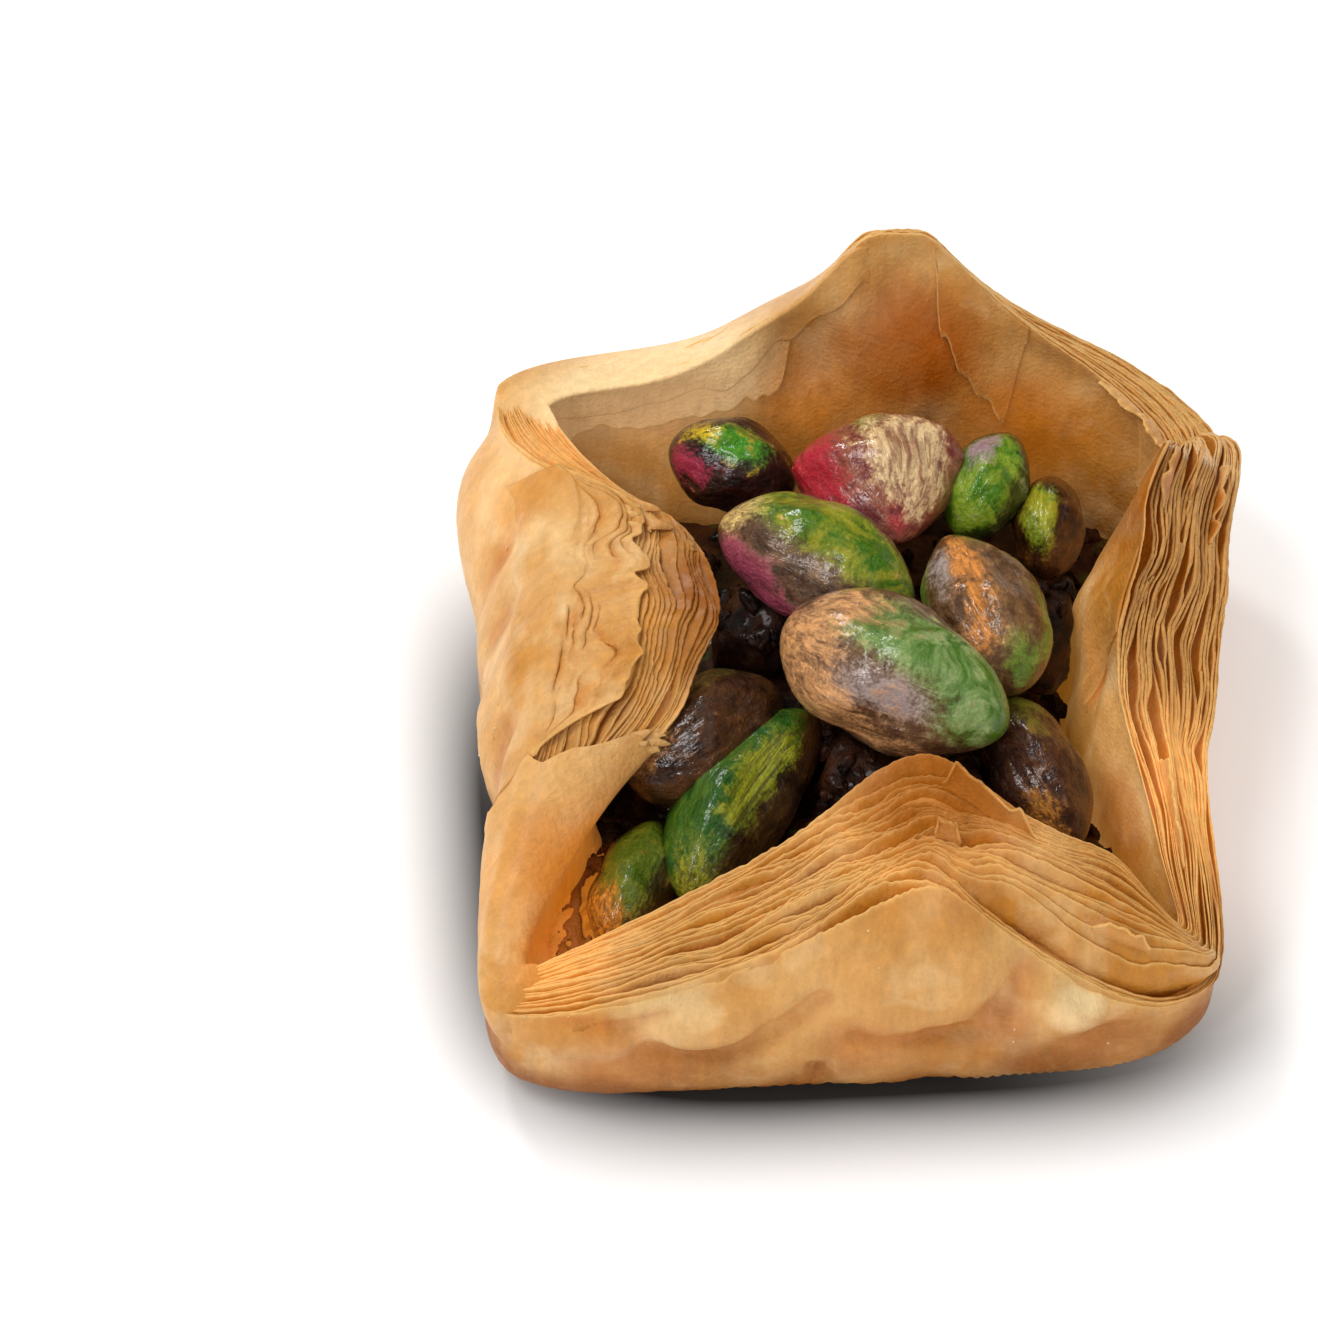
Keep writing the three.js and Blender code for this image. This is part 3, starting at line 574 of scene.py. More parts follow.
def baked_filo(settings):
    """Baked, buttered filo: crisp, thin enough to let light through, dull where it is dry and with a
    soft syrup shine. It goes from cream through gold to orange-brown where the oven coloured it.
    Painted light: darker orange and a painted glow deep between the sheets, paler cream at their edges,
    and painted shade in the creases and at the foot."""
    material, tree = new_material("Baked filo pastry, buttered")
    material.cycles.emission_sampling = "NONE"
    place = add(tree, "ShaderNodeTexCoord", out=3)
    upright = add(tree, "ShaderNodeMapping", {"Vector": place, "Scale": PULLED_WAY},
                  vector_type="POINT")
    browned, soaked, hidden, tone, rim, lit = (
        add(tree, "ShaderNodeAttribute", out=2, attribute_name=name)
        for name in ("browned", "soaked", "hidden", "tone", "rim", "lit"))
    clouds, mottle, fibres, pulled, veils = (
        add(tree, "ShaderNodeTexNoise", {"Vector": way, "Scale": 1 / (size * MM),
                                         "Detail": detail, "Roughness": rough, "Distortion": stir})
        for way, size, detail, rough, stir in (
            (place, CLOUD_SIZE, 3, 0.5, 0), (place, MOTTLE_SIZE, 4, 0.6, 0),
            (place, FIBRE_SIZE, 2, 0.5, 0), (upright, PULLED_SIZE, 3, 0.55, 0),
            (place, VEIL_SIZE, 3, 0.5, 0.5)))
    gold, veil, amber, brown, speck, streaks, rough = (
        add(tree, "ShaderNodeMapRange", {"Value": value, "From Min": low, "From Max": high,
                                         "To Min": least, "To Max": most})
        for value, low, high, least, most in (
            (clouds, 0.36, 0.66, 0, 1), (veils, 0.50, 0.70, 0, 0.50),
            (clouds, 0.3, 0.7, -0.25, 0.2), (mottle, 0.3, 0.7, -0.16, 0.16),
            (fibres, 0.25, 0.75, 0.95, 1.04), (pulled, 0.3, 0.7, 0.90, 1.08),
            (mottle, 0.3, 0.7, 0.42, 0.62)))
    # The tone carries painted light: the side tones and the paler spots.
    gold = add(tree, "ShaderNodeMath", (gold, tone), operation="ADD")
    gold = add(tree, "ShaderNodeMath", (gold, GOLD_SHARE), operation="MULTIPLY", use_clamp=True)
    paler = add(tree, "ShaderNodeMath", (tone, -1.0, PALER_UNDER), operation="MULTIPLY_ADD",
                use_clamp=True)
    veil = add(tree, "ShaderNodeMath", (veil, paler), operation="MAXIMUM")
    # Noise eats into the borders of these patches and adds nothing outside them.
    eaten = []
    for share, noise in ((soaked, amber), (browned, brown)):
        noise = add(tree, "ShaderNodeMath", (share, noise), operation="ADD", use_clamp=True)
        eaten.append(add(tree, "ShaderNodeMath", (noise, share), operation="MINIMUM"))
    # Painted light in this chain: the colour between the sheets is painted shade, the edge colour a
    # painted highlight, the amber also paints shade into the creases and the browning paints shade at
    # the foot.
    colour = (*settings.pale, 1)
    for share, over in ((gold, settings.golden), (veil, VEIL_COLOUR), (eaten[0], settings.amber),
                        (hidden, settings.between), (rim, EDGE_HIGHLIGHT_COLOUR),
                        (eaten[1], settings.browned)):
        colour = add(tree, "ShaderNodeMix", {0: share, 6: colour, 7: (*over, 1)}, **COLOURS)
    speck = add(tree, "ShaderNodeMath", (speck, streaks), operation="MULTIPLY")
    speck = add(tree, "ShaderNodeCombineColor", (speck, speck, speck))
    colour = add(tree, "ShaderNodeMix", {0: 1.0, 6: colour, 7: speck}, blend_type="MULTIPLY",
                 **COLOURS)
    rough = add(tree, "ShaderNodeMath", (soaked, SOAKED_SHINE, rough), operation="MULTIPLY_ADD")
    relief = add(tree, "ShaderNodeMath", (mottle, fibres), operation="ADD")
    relief = add(tree, "ShaderNodeMath", (pulled, 1.5, relief), operation="MULTIPLY_ADD")
    bump = add(tree, "ShaderNodeBump", {"Height": relief, "Distance": 0.12 * MM,
                                        "Strength": 0.8})
    # Painted glow: the pastry gives off light in its own colour deep between the sheets and at the
    # glowing spots, in place of light that comes through the thin sheets.
    through = hidden
    for operation, by in (("MULTIPLY", hidden), ("MULTIPLY", PAINTED_GAP_GLOW), ("MAXIMUM", lit),
                          ("MULTIPLY", settings.glow)):
        through = add(tree, "ShaderNodeMath", (through, by), operation=operation)
    shader = add(tree, "ShaderNodeBsdfPrincipled", {
        "Base Color": colour, "Roughness": rough, "Normal": bump, "IOR": 1.40,
        "Specular IOR Level": 0.3, "Subsurface Weight": 0.25,
        "Subsurface Radius": (1.0, 0.8, 0.55), "Subsurface Scale": 0.30 * MM,
        "Coat Weight": 0.12, "Coat Roughness": 0.22,
        "Emission Color": colour, "Emission Strength": through})
    add(tree, "ShaderNodeOutputMaterial", {"Surface": shader})
    return material


def kernel_skin(name, colours):
    """A pistachio kernel under syrup: its papery purple-brown skin has rubbed off in patches over the
    green flesh, and the syrup's film gives it a wet gloss. `colours` are the skin, the deep skin, the
    flesh, the bright flesh, the dry ridges and the blush, which is purple-red skin on some kernels and,
    on the centre and right kernels, a greyish lilac painted highlight of the syrup."""
    skin, deep, flesh, bright, ridge, blush = (linear(each) for each in colours)
    material, tree = new_material(name)
    spot = add(tree, "ShaderNodeTexCoord", out=3)
    place = add(tree, "ShaderNodeAttribute", out=1, attribute_name="kernel_place")
    along, lined = (
        add(tree, "ShaderNodeMapping", {"Vector": place, "Scale": scale}, vector_type="POINT")
        for scale in ((0.8, 3.4, 3.4), (0.5, 9.0, 9.0)))
    blotch, patchy, grain, streak, lines = (
        add(tree, "ShaderNodeTexNoise", {"Vector": way, "Scale": scale, "Detail": detail,
                                         "Roughness": rough, "Distortion": stir})
        for way, scale, detail, rough, stir in (
            (spot, 1 / (BLOTCH_SIZE * MM), 5, 0.62, 0.8), (spot, 1 / (PATCHY_SIZE * MM), 4, 0.6, 0),
            (spot, 1 / (SKIN_GRAIN * MM), 3, 0.65, 0), (along, 1.5, 3, 0.55, 1.6),
            (lined, 1.3, 3, 0.6, 0.7)))
    stir = add(tree, "ShaderNodeMath", (patchy, 0.6, blotch), operation="MULTIPLY_ADD")
    base, furrow, either, crest, shade, rough = (
        add(tree, "ShaderNodeMapRange", {"Value": value, "From Min": low, "From Max": high,
                                         "To Min": least, "To Max": most})
        for value, low, high, least, most in (
            (stir, 0.66, 0.94, 0, 1), (lines, 0.42, 0.64, 0, 0.75), (blotch, 0.42, 0.58, 0, 1),
            (streak, 0.30, 0.70, 0.84, 1.12), (grain, 0.3, 0.7, 0.90, 1.30),
            (blotch, 0.35, 0.65, 0.28, 0.55)))
    colour = add(tree, "ShaderNodeMix", {0: base, 6: deep, 7: skin}, **COLOURS)
    for noise, amount in ((streak, 0.3), (grain, 0.45)):
        stir = add(tree, "ShaderNodeMath", (noise, amount, stir), operation="MULTIPLY_ADD")
    stir = add(tree, "ShaderNodeMath", (stir, 1.175), operation="SUBTRACT")
    for key, first, second, reach in (("flesh", flesh, bright, 1.5), ("blush", blush, blush, 1.6),
                                      ("ridge", ridge, ridge, 1.6)):
        amount = add(tree, "ShaderNodeAttribute", out=2, attribute_name=key)
        stirred = add(tree, "ShaderNodeMath", (stir, reach, amount), operation="MULTIPLY_ADD")
        share = add(tree, "ShaderNodeMapRange", {"Value": stirred, "From Min": 0.16,
                                                 "From Max": 0.80},
                    interpolation_type="SMOOTHSTEP")
        patch = add(tree, "ShaderNodeMix", {0: either, 6: first, 7: second}, **COLOURS)
        if key == "ridge":
            patch = add(tree, "ShaderNodeMix", {0: furrow, 6: patch, 7: deep}, **COLOURS)
        colour = add(tree, "ShaderNodeMix", {0: share, 6: colour, 7: patch}, **COLOURS)
    # Fine papery grain, painted lighter on the crests and darker between them: painted light and shade
    # that follow the bump's relief.
    shade = add(tree, "ShaderNodeMath", (shade, crest), operation="MULTIPLY")
    shade = add(tree, "ShaderNodeCombineColor", (shade, shade, shade))
    colour = add(tree, "ShaderNodeMix", {0: 1.0, 6: colour, 7: shade}, blend_type="MULTIPLY",
                 **COLOURS)
    relief = add(tree, "ShaderNodeMath", (streak, 1.0, grain), operation="MULTIPLY_ADD")
    relief = add(tree, "ShaderNodeMath", (patchy, 2.4, relief), operation="MULTIPLY_ADD")
    ripple = add(tree, "ShaderNodeMath", (streak, 0.8, patchy), operation="MULTIPLY_ADD")
    bump, wet = (
        add(tree, "ShaderNodeBump", {"Height": height, "Distance": most * MM, "Strength": share})
        for height, most, share in ((relief, 0.20, 0.65), (ripple, 0.12, 0.8)))
    shader = add(tree, "ShaderNodeBsdfPrincipled", {
        "Base Color": colour, "Roughness": rough, "Normal": bump, "IOR": 1.45,
        "Specular IOR Level": 0.45, "Subsurface Weight": 0.1,
        "Subsurface Radius": (1.0, 0.8, 0.4), "Subsurface Scale": 0.4 * MM,
        "Coat Weight": 1.0, "Coat Roughness": 0.09, "Coat IOR": 1.5, "Coat Normal": wet})
    add(tree, "ShaderNodeOutputMaterial", {"Surface": shader})
    return material


def syruped_chopped_nuts():
    """Chopped pistachio in syrup, deep in the nest: dark with the syrup and painted near black for the
    shade of the gaps, with brown and purple skins and a wet shine."""
    material, tree = new_material("Chopped pistachio in syrup")
    place = add(tree, "ShaderNodeTexCoord", out=3)
    lumps, grain = (
        add(tree, "ShaderNodeTexNoise", {"Vector": place, "Scale": 1 / (size * MM), "Detail": 4,
                                         "Roughness": rough})
        for size, rough in ((BLOTCH_SIZE, 0.5), (NUT_GRAIN, 0.65)))
    away = add(tree, "ShaderNodeVectorMath", (place, tuple(POOL_AT * MM)), out=1,
               operation="DISTANCE")
    # Painted shade: the base is near black, standing in for the shade deep in the gaps.
    colour = linear("#120806")
    for value, low, high, over in ((lumps, 0.40, 0.62, "#4c260e"), (lumps, 0.62, 0.68, "#4a5210"),
                                   (away, POOL_REACH * MM, 0.5 * POOL_REACH * MM, "#b0661a")):
        share = add(tree, "ShaderNodeMapRange", {"Value": value, "From Min": low,
                                                 "From Max": high})
        colour = add(tree, "ShaderNodeMix", {0: share, 6: colour, 7: linear(over)}, **COLOURS)
    relief = add(tree, "ShaderNodeMath", (grain, 0.5, lumps), operation="MULTIPLY_ADD")
    bump = add(tree, "ShaderNodeBump", {"Height": relief, "Distance": 0.5 * MM})
    shader = add(tree, "ShaderNodeBsdfPrincipled", {
        "Base Color": colour, "Roughness": 0.5, "Normal": bump, "IOR": 1.45,
        "Specular IOR Level": 0.35, "Coat Weight": 0.25, "Coat Roughness": 0.15})
    add(tree, "ShaderNodeOutputMaterial", {"Surface": shader})
    return material


def pastry_crumb():
    """Dry crumbs of baked filo: pale, matt and a little see-through."""
    material, tree = new_material("Dry filo crumbs")
    shader = add(tree, "ShaderNodeBsdfPrincipled", {
        "Base Color": linear("#f0d4a6"), "Roughness": 0.6, "IOR": 1.45,
        "Subsurface Weight": 0.4, "Subsurface Scale": 0.2 * MM})
    add(tree, "ShaderNodeOutputMaterial", {"Surface": shader})
    return material


def pale_table():
    """A matt white tabletop with a painted shadow, near black close to the nest's front and left. Away
    from that it gives off a faint light of its own, which washes out the lamps' real shadows.
    """
    material, tree = new_material("Matt white tabletop")
    place = add(tree, "ShaderNodeTexCoord", out=3)
    parts = tree.nodes.new("ShaderNodeSeparateXYZ")
    tree.links.new(place, parts.inputs[0])
    powers = []
    for axis in (0, 1):
        share = parts.outputs[axis]
        for operation, by in (("DIVIDE", (SHADE_HALF * MM,)), ("ABSOLUTE", ()),
                              ("POWER", (SHADE_SQUARENESS,))):
            share = add(tree, "ShaderNodeMath", (share, *by), operation=operation)
        powers.append(share)
    total = add(tree, "ShaderNodeMath", powers, operation="ADD")
    away = add(tree, "ShaderNodeMath", (total, 1 / SHADE_SQUARENESS), operation="POWER")
    slope = add(tree, "ShaderNodeMath", (parts.outputs[0], 0.8, parts.outputs[1]),
                operation="MULTIPLY_ADD")
    facing = add(tree, "ShaderNodeMapRange", {"Value": slope, "From Min": 12 * MM,
                                              "From Max": -22 * MM},
                 interpolation_type="SMOOTHSTEP")
    near = add(tree, "ShaderNodeMapRange", {"Value": away, "From Min": SHADE_END,
                                            "From Max": 0.98})
    near = add(tree, "ShaderNodeMath", (near, 1.6), operation="POWER")
    # Painted shadow: the table is coloured near black close to the nest's front and left, fading
    # outwards.
    shade = add(tree, "ShaderNodeMath", (near, facing), operation="MULTIPLY")
    colour = add(tree, "ShaderNodeMix", {0: shade, 6: (0.93, 0.93, 0.93, 1),
                                         7: (0.05, 0.048, 0.045, 1)}, **COLOURS)
    # Painted light: outside the painted shadow the table glows a little.
    painted_table_glow = add(tree, "ShaderNodeMapRange", {"Value": shade, "To Min": 0.25, "To Max": 0.0})
    shader = add(tree, "ShaderNodeBsdfPrincipled", {
        "Base Color": colour, "Roughness": 0.9, "Specular IOR Level": 0.2,
        "Emission Color": (1, 1, 1, 1), "Emission Strength": painted_table_glow})
    add(tree, "ShaderNodeOutputMaterial", {"Surface": shader})
    return material


# ------------------------------------------------------------------------------- the pastry

# Where the oven browned the sheets: the spot, its reach and how much.
BROWNED = (
    ((3.2, -13.5, 20.0), 6.0, 0.8), ((20.5, 8.0, 20.5), 6.5, 0.25), ((20.0, 0.0, 17.5), 7.0, 0.35),
    ((-8.4, 2.8, 18.6), 4.6, 1.0), ((-9.6, -1.5, 18.0), 3.4, 0.7), ((-9.8, 6.5, 19.0), 3.0, 0.6),
    ((-11.0, -24.0, 4.0), 4.5, 0.6), ((-4.4, -24.3, 5.0), 0.9, 1.0), ((5.0, -20.6, 17.0), 2.2, 0.35),
    ((12.2, -24.4, 6.4), 3.0, 0.45),
)
# Where it is painted paler: partly cream that it is, partly painted light, as a painted highlight on
# the blister at the front right and painted light on the inner faces at the back and on the right. The
# spot, its reach and how much, as above.
CREAM_AND_PAINTED_LIGHT = (
    ((11.5, -24.3, 10.2), 2.4, 1.5), ((-14.0, -23.9, 9.4), 2.6, 0.9), ((-5.5, -23.9, 12.2), 2.6, 0.7),
    ((-10.0, 19.5, 19.5), 6.5, 1.2), ((-16.0, 17.0, 17.0), 5.5, 1.1), ((13.0, 17.5, 17.5), 4.5, 0.9),
    ((-19.5, 6.0, 20.0), 4.5, 0.5), ((17.5, -6.0, 12.0), 6.0, 0.9), ((18.0, 2.0, 13.0), 5.0, 0.7),
)
# Where syrup soaked in and the pastry turned amber: the same.
SOAKED = (
    ((20.5, 8.0, 20.5), 6.5, 0.6), ((4.6, 21.5, 19.0), 5.5, 1.0), ((2.0, 20.5, 14.0), 6.0, 0.65),
    ((-1.0, 20.5, 16.0), 4.5, 0.5), ((11.0, 19.0, 13.0), 5.0, 0.6), ((-16.5, -12.0, 10.0), 6.0, 0.75),
    ((-18.5, -17.5, 10.0), 3.5, 0.85), ((3.2, -12.4, 18.0), 4.5, 0.55), ((-1.8, -24.3, 7.6), 3.0, 0.4),
    ((6.9, -24.1, 9.0), 2.4, 0.55), ((14.0, -24.2, 5.5), 3.5, 0.45), ((-16.0, -23.6, 5.5), 4.0, 0.5),
    ((15.5, -10.0, 9.0), 4.0, 0.6),
)


def fused_at(degrees):
    """How far syrup has run the sheets' ends together at each place round the nest."""
    return FUSED["share"] * bell(turn_between(degrees, FUSED["at"]), FUSED["half"])


def sheet_layout(section, rng):
    """Each sheet's place in the stack as a share of its depth, where each ends, and how open
    the gap behind each is."""
    theta = section["theta"]
    degrees = section["degrees"]
    gaps, steps, opened = [], [], []
    calm = 0.75 * bell(turn_between(degrees, CALM["at"]), CALM["half"])
    fused = fused_at(degrees)
    for sheet in range(SHEETS - 1):
        gap = np.exp(0.28 * ring_noise(theta, rng, (2, 12)) + rng.normal(0, 0.25))
        step = np.exp(0.30 * ring_noise(theta, rng, (2, 12)) + rng.normal(0, 0.45))
        slit = np.zeros_like(theta)
        for _ in range(SLITS):
            near = bell(turn_between(degrees, rng.uniform(0, 360)), rng.uniform(3, 9))
            slit = np.maximum(slit, near)
        gap = gap * (0.6 + 1.5 * slit)
        gap = mix(gap, 1.0, np.maximum(calm, 0.6 * fused))
        step = mix(step * (0.4 + 1.4 * slit), 1.0, 0.6 * fused)
        open_here = 0.9 * slit * (1 - 0.6 * fused)
        for parting in PARTINGS:
            if sheet == round(parting["depth"] * (SHEETS - 2)):
                near = bell(turn_between(degrees, parting["at"]), parting["half"])
                gap = gap + parting["room"] * near * (1 - 0.6 * calm)
                step = step + parting["drop"] * near
                open_here = np.maximum(open_here, ease(near * 1.4))
        opened.append(np.clip(open_here, 0, 1))
        gaps.append(gap)
        steps.append(step)
    layers = np.hstack([np.zeros_like(theta), np.cumsum(np.hstack(gaps), axis=1)])
    layers /= layers[:, -1:]
    lower = np.hstack([np.zeros_like(theta), np.cumsum(np.hstack(steps), axis=1)])
    lower /= lower[:, -1:]
    ends = section["total"] - section["stagger"] * lower
    for sheet in range(SHEETS):
        rag = (1.8 * ring_noise(theta, rng, (4, 14)) + 0.40 * ring_noise(theta, rng, (30, 90))
               + 0.30 * ring_noise(theta, rng, (90, 160))
               + 0.25 * ring_noise(theta, rng, (160, 260)))
        torn = np.maximum(ring_noise(theta, rng, (14, 40)) - 2.0, 0)
        rag, torn = rag * (1 - 0.6 * fused), torn * (1 - 0.5 * fused)
        ends[:, sheet] += (EDGE_RAG * rag - 0.4 * torn)[:, 0]
        for slip in SLIPS:
            slid = ease((layers[:, sheet] - slip["depth"]) / (1 - slip["depth"]) * 2)
            near = bell(turn_between(degrees[:, 0], slip["at"]), slip["half"])
            ends[:, sheet] -= slip["drop"] * slid * near
    return layers, ends, np.hstack(opened)


def filo_attributes(points, hidden, rim, tone, rng):
    """What the pastry's material reads at each point."""
    degrees = np.degrees(np.arctan2(points[..., 1], points[..., 0])) % 360
    sides = (0, 90, 180, 270, 360)
    # Side tones, with painted shade on the right and painted light on the left.
    tone = tone + np.interp(degrees, sides, SIDE_TONES_AND_SHADE + SIDE_TONES_AND_SHADE[:1])
    shape = points.shape[:-1]
    browned, soaked, lit = np.zeros(shape), np.zeros(shape), np.zeros(shape)
    for found, spots in ((browned, BROWNED), (soaked, SOAKED)):
        for spot, reach, amount in spots:
            np.maximum(found, amount * near_spot(points, spot, reach), out=found)
    # Painted shade: the outer face's creases are darkened with the amber of syrup-steeped pastry.
    for start, end, width, amount in FOLDS:
        if amount < 0:
            np.maximum(soaked, 0.6 * near_line(points, start, end, width), out=soaked)
    # Painted light: the pale spots, among them a painted highlight.
    for spot, reach, amount in CREAM_AND_PAINTED_LIGHT:
        tone = tone - amount * near_spot(points, spot, reach)
    # Painted glow at the glowing spots, which also turns them orange.
    for spot, reach, amount, warmth in PAINTED_GLOW_SPOTS:
        near = amount * near_spot(points, spot, reach)
        np.maximum(lit, near, out=lit)
        hidden = np.maximum(hidden, warmth * np.minimum(near, 1.0))
    # The foot is browned, and painted darker still as shade, more at the front than behind.
    foot = ease((FOOT_BROWN_SHADE_TOP - points[..., 2]) / FOOT_BROWN_SHADE_FADE)
    foot = foot * np.where(points[..., 1] < 0, 1.0, FOOT_BROWN_SHADE_BEHIND)
    browned = np.maximum(browned, foot * (0.74 + 0.34 * space_noise(points, rng, CLOUD_SIZE)))
    return {"browned": np.clip(browned, 0, 1), "soaked": np.clip(soaked, 0, 1),
            "hidden": hidden, "lit": lit, "rim": np.broadcast_to(rim, shape),
            "tone": tone}


def face_relief(section, travel, layer, ends):
    """How far a sheet's blisters, dents and folds stand off its smooth place. They belong to
    the outer and the inner face and fade out towards the middle of the stack and the rim."""
    theta, stack = section["theta"], stack_at(section, travel)
    total = np.zeros(np.broadcast(theta, travel).shape)
    for face, seed, share in ((1, OUTER_SEED, layer), (0, INNER_SEED, 1 - layer)):
        rng = np.random.default_rng(seed)
        below_end = ends[:, -1:] - travel if face else ends[:, :1] - travel
        relief = (0.22 * face_noise(theta, travel, rng, (4, 18), 0.5)
                  + 0.05 * face_noise(theta, travel, rng, (18, 50), 1.2)
                  + 0.012 * face_noise(theta, travel, rng, (60, 140), 4.0, 28))
        if face:
            flat = sheet_point(section, travel, stack, 1.0)
            for start, finish, width, amount in FOLDS:
                relief += FOLD_GAIN * amount * near_line(flat, start, finish, width)
        most = np.minimum(RELIEF_MOST, 0.2 * stack)
        fade = ease(travel / 3.0) * ease(below_end / 2.5) * ease((share - 0.5) / 0.35)
        total += most * np.tanh(relief / most) * fade
    return total


def sheet_band(section, layers, ends, opened, sheet, rng):
    """One sheet as a closed thin band: points and attributes, profile by profile."""
    innermost, outermost = sheet == 0, sheet == SHEETS - 1
    is_face = innermost or outermost
    fused = fused_at(section["degrees"])
    layer, end = layers[:, sheet:sheet + 1], ends[:, sheet:sheet + 1]
    beside = layers[:, sheet - 1:sheet] if outermost else layers[:, sheet + 1:sheet + 2]
    if is_face:
        lowest = np.full_like(end, OUTER_LOWEST if outermost else INNER_LOWEST)
        shown, unseen = (
            np.hstack([end - END_STEPS,
                       mix(end - END_STEPS[-1], lowest, np.linspace(0, 1, rows)[1:])])
            for rows in (SHOWN_ROWS, UNSEEN_ROWS))
        inner, outer = (unseen, shown) if outermost else (shown, unseen)
    else:
        inner = outer = end - np.append(END_STEPS, STRIP_TUCK)
    travel = np.hstack([inner[:, ::-1], outer])
    is_outer = np.hstack([np.zeros(inner.shape[1]), np.ones(outer.shape[1])])
    from_end = end - travel
    stack = stack_at(section, travel)
    room = np.abs(beside - layer) * stack
    gap = min(sheet, SHEETS - 2)
    loose = opened[:, gap:gap + 1]
    thick = mix(STUCK_SHARE * room, np.minimum(SHEET_THICK, OPEN_SHARE * room), loose)
    taper = mix(mix(0.80, 0.45, loose), 1.0, 0.9 * fused)
    thick = thick * mix(taper, 1, ease(from_end / 0.45))
    flutter = 0.03 * ring_noise(section["theta"], rng, (8, 40)) * ease(1 - from_end / 1.4)
    flutter = flutter * np.minimum(room / 0.3, 1)
    if is_face:
        unseen = is_outer < 1 if outermost else is_outer > 0
        thick = thick + np.where(unseen, UNSEEN_THICK * ease((from_end - 1.5) / 3), 0.0)
    depth = layer * stack + flutter + face_relief(section, travel, layer, ends)
    # How far under the next sheet's end it lies, which counts on the outer side alone.
    under = -1.0 if outermost else from_end - (end - ends[:, sheet + 1:sheet + 2])
    if not is_face:
        sink = np.minimum(STRIP_SINK, 0.5 * layer * stack)
        depth = depth - sink * ease((under - 0.2) / 1.4)
    depth = depth + np.where(is_outer > 0, 0.0 if outermost else thick,
                             -thick if outermost else 0.0)
    points = sheet_point(section, travel, depth, layer)
    points[..., 2] = np.maximum(points[..., 2], 0.0)
    # Painted shade and glow: the further a side lies under the next sheet's end, the darker orange it
    # is painted and the more it glows.
    cover = np.where(is_outer > 0, under, -1.0 if innermost else from_end)
    hidden = ease((cover + 0.6) / 1.3) * mix(0.5, 0.75, loose) * (1 - 0.6 * fused)
    # Painted highlight: paler cream along the sheet's thin edge.
    rim = 0.8 * bell(from_end, 0.15) * (1 - 0.6 * fused)
    tone = rng.uniform(-0.2, 0.2) + 0.2 * ring_noise(section["theta"], rng, (3, 12))
    if not is_face:
        tone = tone + STRIP_TONE
    return points, filo_attributes(points, hidden, rim, tone, rng)


def core_points(section, layers, ends, opened):
    """The pressed stack that closes the gaps between the sheets, one open profile each."""
    foot = section["arc"] * np.linspace(0, 1, 6)[None, :]
    beside = np.hstack([opened[:, :1], np.maximum(opened[:, 1:], opened[:, :-1]), opened[:, -1:]])
    sink = mix(STUCK_SINK, OPEN_SINK, beside)
    climb = mix(section["arc"], ends[:, -1:] - sink[:, -1:], np.linspace(0, 1, 32)[None, 1:])
    outer_travel = np.hstack([foot, climb])
    inner_travel = np.linspace(1, 0, 24)[None, 1:] * (ends[:, :1] - sink[:, :1])
    top_travel = (ends - sink)[:, ::-1]
    rows = []
    for travel, layer in ((outer_travel, 1.0), (top_travel, layers[:, ::-1]),
                          (inner_travel, 0.0)):
        stack = stack_at(section, travel)
        below = mix(ends[:, :1], ends[:, -1:], layer) - sink.min(1, keepdims=True) - travel
        inset = np.minimum(CORE_INSET, 0.3 * stack) * ease((below + 0.6) / 2.4) + CORE_RIM_INSET
        if travel is top_travel:
            inset = CORE_RIM_INSET
        depth = np.clip(layer * stack, inset, stack - inset)
        depth = depth + face_relief(section, travel, layer, ends)
        rows.append(sheet_point(section, travel, depth, layer + np.zeros_like(travel)))
    # Painted shade and glow on the core, as if it lay deep in the stack.
    hidden = np.hstack([np.full_like(outer_travel, CORE_PAINTED_GAP_LIGHT), mix(0.45, 0.75, beside[:, ::-1]),
                        np.full_like(inner_travel, CORE_PAINTED_GAP_LIGHT)])
    return np.concatenate(rows, axis=1), hidden


def shell_parts(grid, thick):
    """Points and faces of a closed shell round a grid of points. The faces point outwards."""
    rows, columns = grid.shape[:2]
    across = np.cross(np.gradient(grid, axis=0), np.gradient(grid, axis=1))
    across /= np.maximum(np.linalg.norm(across, axis=-1, keepdims=True), 1e-9)
    points = np.concatenate([(grid + across * thick / 2).reshape(-1, 3),
                             (grid - across * thick / 2).reshape(-1, 3)])
    index = np.arange(rows * columns).reshape(rows, columns)
    top = np.stack([index[:-1, :-1], index[1:, :-1], index[1:, 1:], index[:-1, 1:]], -1)
    top = top.reshape(-1, 4)
    edge = np.concatenate([index[0, :-1], index[:-1, -1], index[-1, :0:-1], index[:0:-1, 0]])
    beside = np.roll(edge, -1)
    under = rows * columns
    sides = np.stack([edge, beside, beside + under, edge + under], -1)
    return points, np.concatenate([top, top[:, ::-1] + under, sides])


def end_at(section, depth):
    """How far up the sheet at a share of the stack's depth ends."""
    return section["total"] - section["stagger"] * depth


def along_span(piece, columns):
    """A piece's sections along its span, the share of the span and that share as a turn."""
    share = np.linspace(0, 1, columns)
    return section_at(mix(*piece["span"], share) % 360), share[:, None], share[:, None] * TAU


